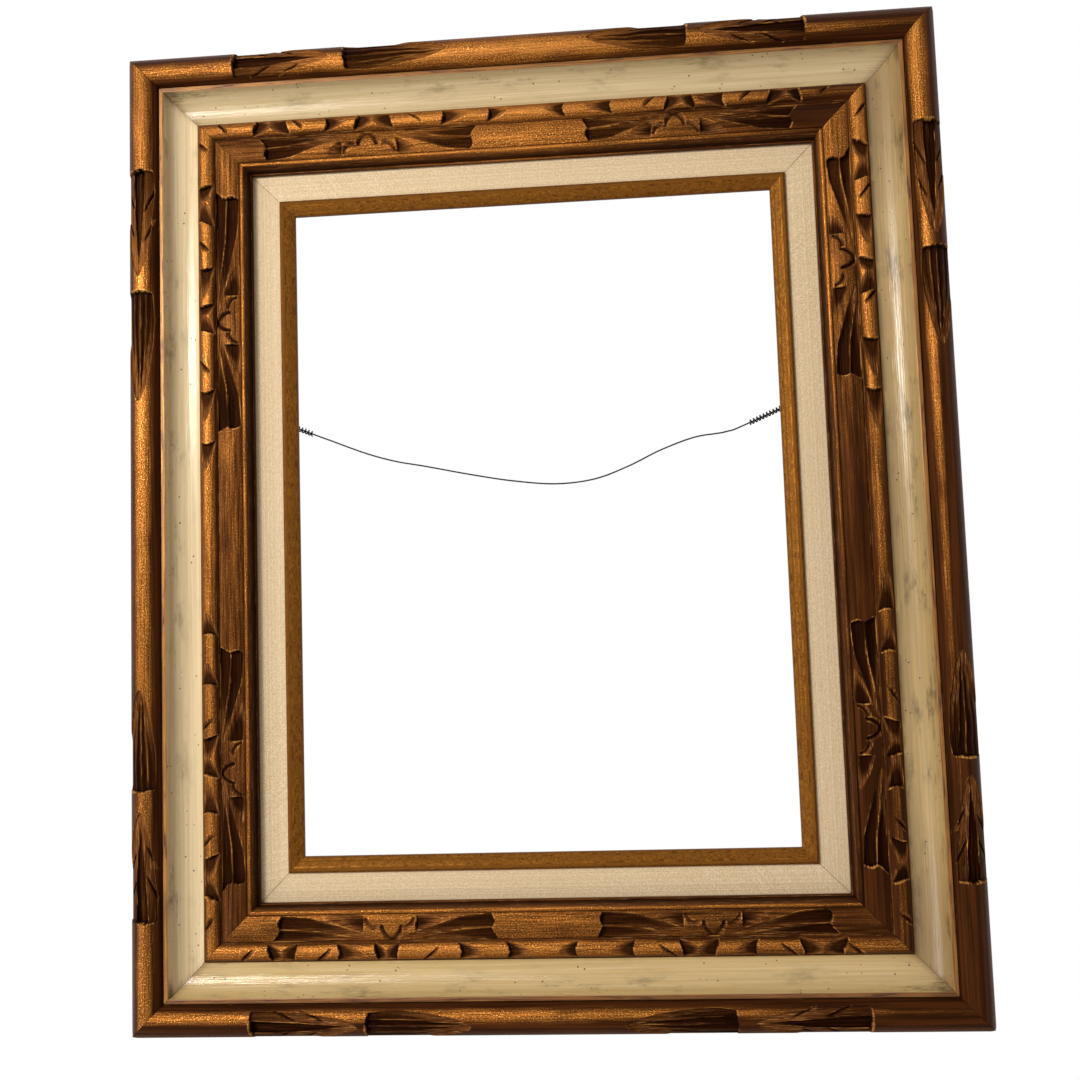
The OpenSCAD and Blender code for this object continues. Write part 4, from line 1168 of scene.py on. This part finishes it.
# %% Screw eyes
EYE_WIRE = {"Strands": 1, "Strand radius": BAR_R / 1000, "Lay radius": 0.0, "Spacing": 0.0007, "Sides": 16}
RING_GAP = math.radians(12)  # the ring isn't bent quite shut
shank = [(0.0, y) for y in np.linspace(-15.6, -2.6, 14)]
ring_turns = np.linspace(0.0, 2 * math.pi - RING_GAP, 48)
bend = [(RING_R * math.sin(a), EYE_Y - RING_R * math.cos(a)) for a in ring_turns]
for side, word in SIDES:
    points = [(side * EYE_X / 1000, y / 1000, (EYE_Z + z) / 1000) for z, y in [*shank, *bend]]
    base = line_mesh(f"eye_line_{word}", points)
    sizes = {**EYE_WIRE, "Material": STEEL}
    grow(f"screw_eye_{word}_bent", STRANDS, base, sizes, f"screw_eye_{word}")

# %% [markdown]
# ## Nails, brads and corrugated fasteners
#
# These only show from behind. A nail is joined from a shank, a point and sometimes a head. One recipe
# makes a nail and puts a copy on every point of its base, turned the way the point's `aim` says. A
# corrugated fastener is a strip bent into a wave and driven across the mitre, so its recipe bends a grid
# along a sine and gives it a thickness.


# %% Recipes for fasteners
def stored_aim(tree):
    inputs = {"Name": "aim"}
    return add(tree, "GeometryNodeInputNamedAttribute", inputs, output="Attribute", data_type="FLOAT_VECTOR")


def put_on_points(tree, given, end, piece, turn):
    """A copy of the piece on every point of the base, turned that way."""
    points = add(tree, "GeometryNodeMeshToPoints", {"Mesh": given["Geometry"]})
    inputs = {"Points": points, "Instance": piece, "Rotation": turn}
    close_recipe(add(tree, "GeometryNodeInstanceOnPoints", inputs), given, end)


def build_nails():
    sizes = {"Length": 0.018, "Radius": 0.0008, "Head radius": 0.0, "Head thickness": 0.0008}
    tree, given, end = recipe("nails on points", sizes)
    radius, head_thickness = given["Radius"], given["Head thickness"]
    point_length = given["Length"] * 0.15
    shank_length = given["Length"] - point_length

    def lifted(kind, lift, inputs):
        part = add(tree, kind, inputs)
        move = {"Geometry": part, "Translation": xyz(0.0, 0.0, lift)}
        return add(tree, "GeometryNodeTransform", move)

    size = {"Vertices": 14, "Radius": radius, "Depth": shank_length}
    body = lifted("GeometryNodeMeshCylinder", shank_length * 0.5, size)
    size = {"Vertices": 14, "Radius Top": radius * 0.3, "Radius Bottom": radius, "Depth": point_length}
    tip = lifted("GeometryNodeMeshCone", shank_length, size)
    size = {"Vertices": 18, "Radius": given["Head radius"], "Depth": head_thickness}
    head = lifted("GeometryNodeMeshCylinder", head_thickness * 0.5, size)
    no_head = calculate("LESS_THAN", given["Head radius"], 0.0001)
    head = add(tree, "GeometryNodeDeleteGeometry", {"Geometry": head, "Selection": no_head})
    nail = add(tree, "GeometryNodeJoinGeometry", {0: [body, tip, head]})
    facing = add(tree, "FunctionNodeAlignRotationToVector", {"Vector": stored_aim(tree)}, axis="Z")
    put_on_points(tree, given, end, nail, facing)
    return tree


def build_corrugated():
    sizes = {"Length": 0.022, "Depth": 0.010, "Thickness": 0.0007, "Wave": 0.0006, "Pitch": 0.0055}
    tree, given, end = recipe("corrugated fasteners", sizes)
    size = {"Size X": given["Length"], "Size Y": given["Depth"], "Vertices X": 65, "Vertices Y": 5}
    strip = add(tree, "GeometryNodeMeshGrid", size)
    x, _, _ = split(add(tree, "GeometryNodeInputPosition"))
    wave = calculate("SINE", x / given["Pitch"] * (2 * math.pi)) * given["Wave"]
    offset = xyz(0.0, 0.0, wave - given["Thickness"] * 0.5)
    under = add(tree, "GeometryNodeSetPosition", {"Geometry": strip, "Offset": offset})
    lift = {"Mesh": under, "Offset": (0, 0, 1), "Offset Scale": given["Thickness"], "Individual": False}
    skin = add(tree, "GeometryNodeExtrudeMesh", lift, mode="FACES")
    flipped = add(tree, "GeometryNodeFlipFaces", {"Mesh": under})
    solid = add(tree, "GeometryNodeJoinGeometry", {0: [skin, flipped]})
    merged = add(tree, "GeometryNodeMergeByDistance", {"Geometry": solid, "Distance": 1e-6})
    put_on_points(tree, given, end, merged, stored_aim(tree))
    return tree


NAILS, CORRUGATED = build_nails(), build_corrugated()

# %% Nails, brads and fasteners
SHORT_ROW, LONG_ROW = (-88.8, 88.8), (-126.7, 0, 126.7)
NAILS_ALONG = {"top": SHORT_ROW, "bottom": SHORT_ROW, "left": LONG_ROW, "right": LONG_ROW}
OUTWARD = {"top": (0, 0, 1), "bottom": (0, 0, -1), "left": (-1, 0, 0), "right": (1, 0, 0)}
OUTER_RABBET_U, CARVED_RABBET_U, CARVED_OUTSIDE_U = 62.3, 31.3, 62.0
STRIP_Y = -4.95  # its upper edge stands 0.05 mm proud of the back


def driven_rows(wall_u, long, h):
    """Nails that lie behind a ledge with half their length driven outward into the wall at wall_u."""
    places = [(side, x) for side, xs in NAILS_ALONG.items() for x in xs]
    points = [place(side, x, wall_u - long / 2, h) * 1000 for side, x in places]
    return points, [OUTWARD[side] for side, x in places]


def steel_piece(name, tree, points, aims, sizes, node):
    """Copies of one fastener, each on a point in millimetres, with its direction or its turn."""
    base = bpy.data.meshes.new(f"{name}_points")
    base.from_pydata([tuple(c / 1000 for c in p) for p in points], [], [])
    data = base.attributes.new("aim", "FLOAT_VECTOR", "POINT").data
    data.foreach_set("vector", np.array(aims, np.float32).reshape(-1))
    grow(name, tree, base, {**sizes, "Material": STEEL}, node)


steel_piece("nails_in_outer_frame", NAILS, *driven_rows(OUTER_RABBET_U, 18, 3.1), {}, "carved_frame_nails")
brad = {"Length": 0.014, "Radius": 0.0006}
steel_piece("brads_in_carved_frame", NAILS, *driven_rows(CARVED_RABBET_U, 14, 6.8), brad, "liner_brads")

corners = [(sx, sz) for sx in (-1, 1) for sz in (-1, 1)]
nail_x, nail_z = RUN["top"] + CARVED_OUTSIDE_U, RUN["left"] + (CARVED_RABBET_U + CARVED_OUTSIDE_U) / 2
spots = [(sx * nail_x, -12.1, sz * nail_z) for sx, sz in corners]
aims = [(-sx, 0, 0) for sx, sz in corners]
long_nail = {"Length": 0.032, "Head radius": 0.0016}
steel_piece("nails_through_mitres", NAILS, spots, aims, long_nail, "carved_frame_corner_nails")

spots, turns = [], []
for sx, sz in corners:
    for share in (0.25, 0.64):
        u = OUTER_RABBET_U + share * (FRAME_WIDTH - OUTER_RABBET_U)
        spots.append((sx * (RUN["top"] + u), STRIP_Y, sz * (RUN["left"] + u)))
        turns.append((0, sx * sz * math.pi / 4, 0))
steel_piece("corrugated_fasteners", CORRUGATED, spots, turns, {}, "corner_fasteners")

# %% [markdown]
# ## Stage and light
#
# The frame hangs as if on a wall that isn't drawn. The floor is far below it and keeps its shadow. It
# glows a little to the camera alone, so it looks as pale as it is. The world shows plain white to the
# camera, in reflections and through glass, and gives a soft warm grey light of its own. A small lamp from
# upper left in front does most of the work and picks out the carving, and a larger one from lower left
# fills its shadows.

# %% Stage and light
FLOOR_Z, FLOOR_R, FLOOR_COLOUR, FLOOR_GLOW = -1.2, 2.0, "#f4f4f2", 0.4
WORLD_LIGHT, WORLD_STRENGTH = "#fff3e2", 0.4
floor_mesh = bpy.data.meshes.new("floor")
turn = np.linspace(0, 2 * math.pi, 97)[:-1]
rim = [(FLOOR_R * math.cos(a), FLOOR_R * math.sin(a), FLOOR_Z) for a in turn]
floor_mesh.from_pydata(rim, [], [tuple(range(96))])
floor = bpy.data.objects.new("floor", floor_mesh)
scene.collection.objects.link(floor)
floor_material, floor_tree = new_material("pale floor", FLOOR_COLOUR)
glow = add(floor_tree, "ShaderNodeLightPath", output="Is Camera Ray") * FLOOR_GLOW
finish = {"Base Color": FLOOR_COLOUR, "Roughness": 0.9}
shine = {"Emission Color": "#e9eef4", "Emission Strength": glow}
floor_mesh.materials.append(painted(floor_material, {**finish, **shine}))

world = bpy.data.worlds.new("world")
scene.world = world
world.use_nodes = True
sky = world.node_tree
sky.nodes.clear()
path = add(sky, "ShaderNodeLightPath", output="Is Camera Ray")
seen = path
for ray in ("Is Transmission Ray", "Is Glossy Ray"):
    seen = calculate("MAXIMUM", seen, path.also(ray))
light = add(sky, "ShaderNodeBackground", {"Color": WORLD_LIGHT, "Strength": WORLD_STRENGTH})
white = add(sky, "ShaderNodeBackground", {"Color": "#ffffff", "Strength": 1.0})
both = add(sky, "ShaderNodeMixShader", {0: seen, 1: light, 2: white})
feed(sky.nodes.new("ShaderNodeOutputWorld"), {0: both})


def lamp(name, at, size, power, colour):
    """A round lamp that looks at the middle of the frame."""
    data = bpy.data.lights.new(name, "AREA")
    data.shape, data.size, data.energy, data.color = "DISK", size, power, colour
    holder = bpy.data.objects.new(name, data)
    holder.location = at
    holder.rotation_euler = (-Vector(at)).to_track_quat("-Z", "Y").to_euler()
    scene.collection.objects.link(holder)


lamp("key", (-0.72, -1.15, 0.42), 0.3, 16.0, (1.0, 0.94, 0.85))
lamp("fill", (-1.5, -1.1, -0.9), 0.7, 9.0, (1.0, 0.96, 0.92))
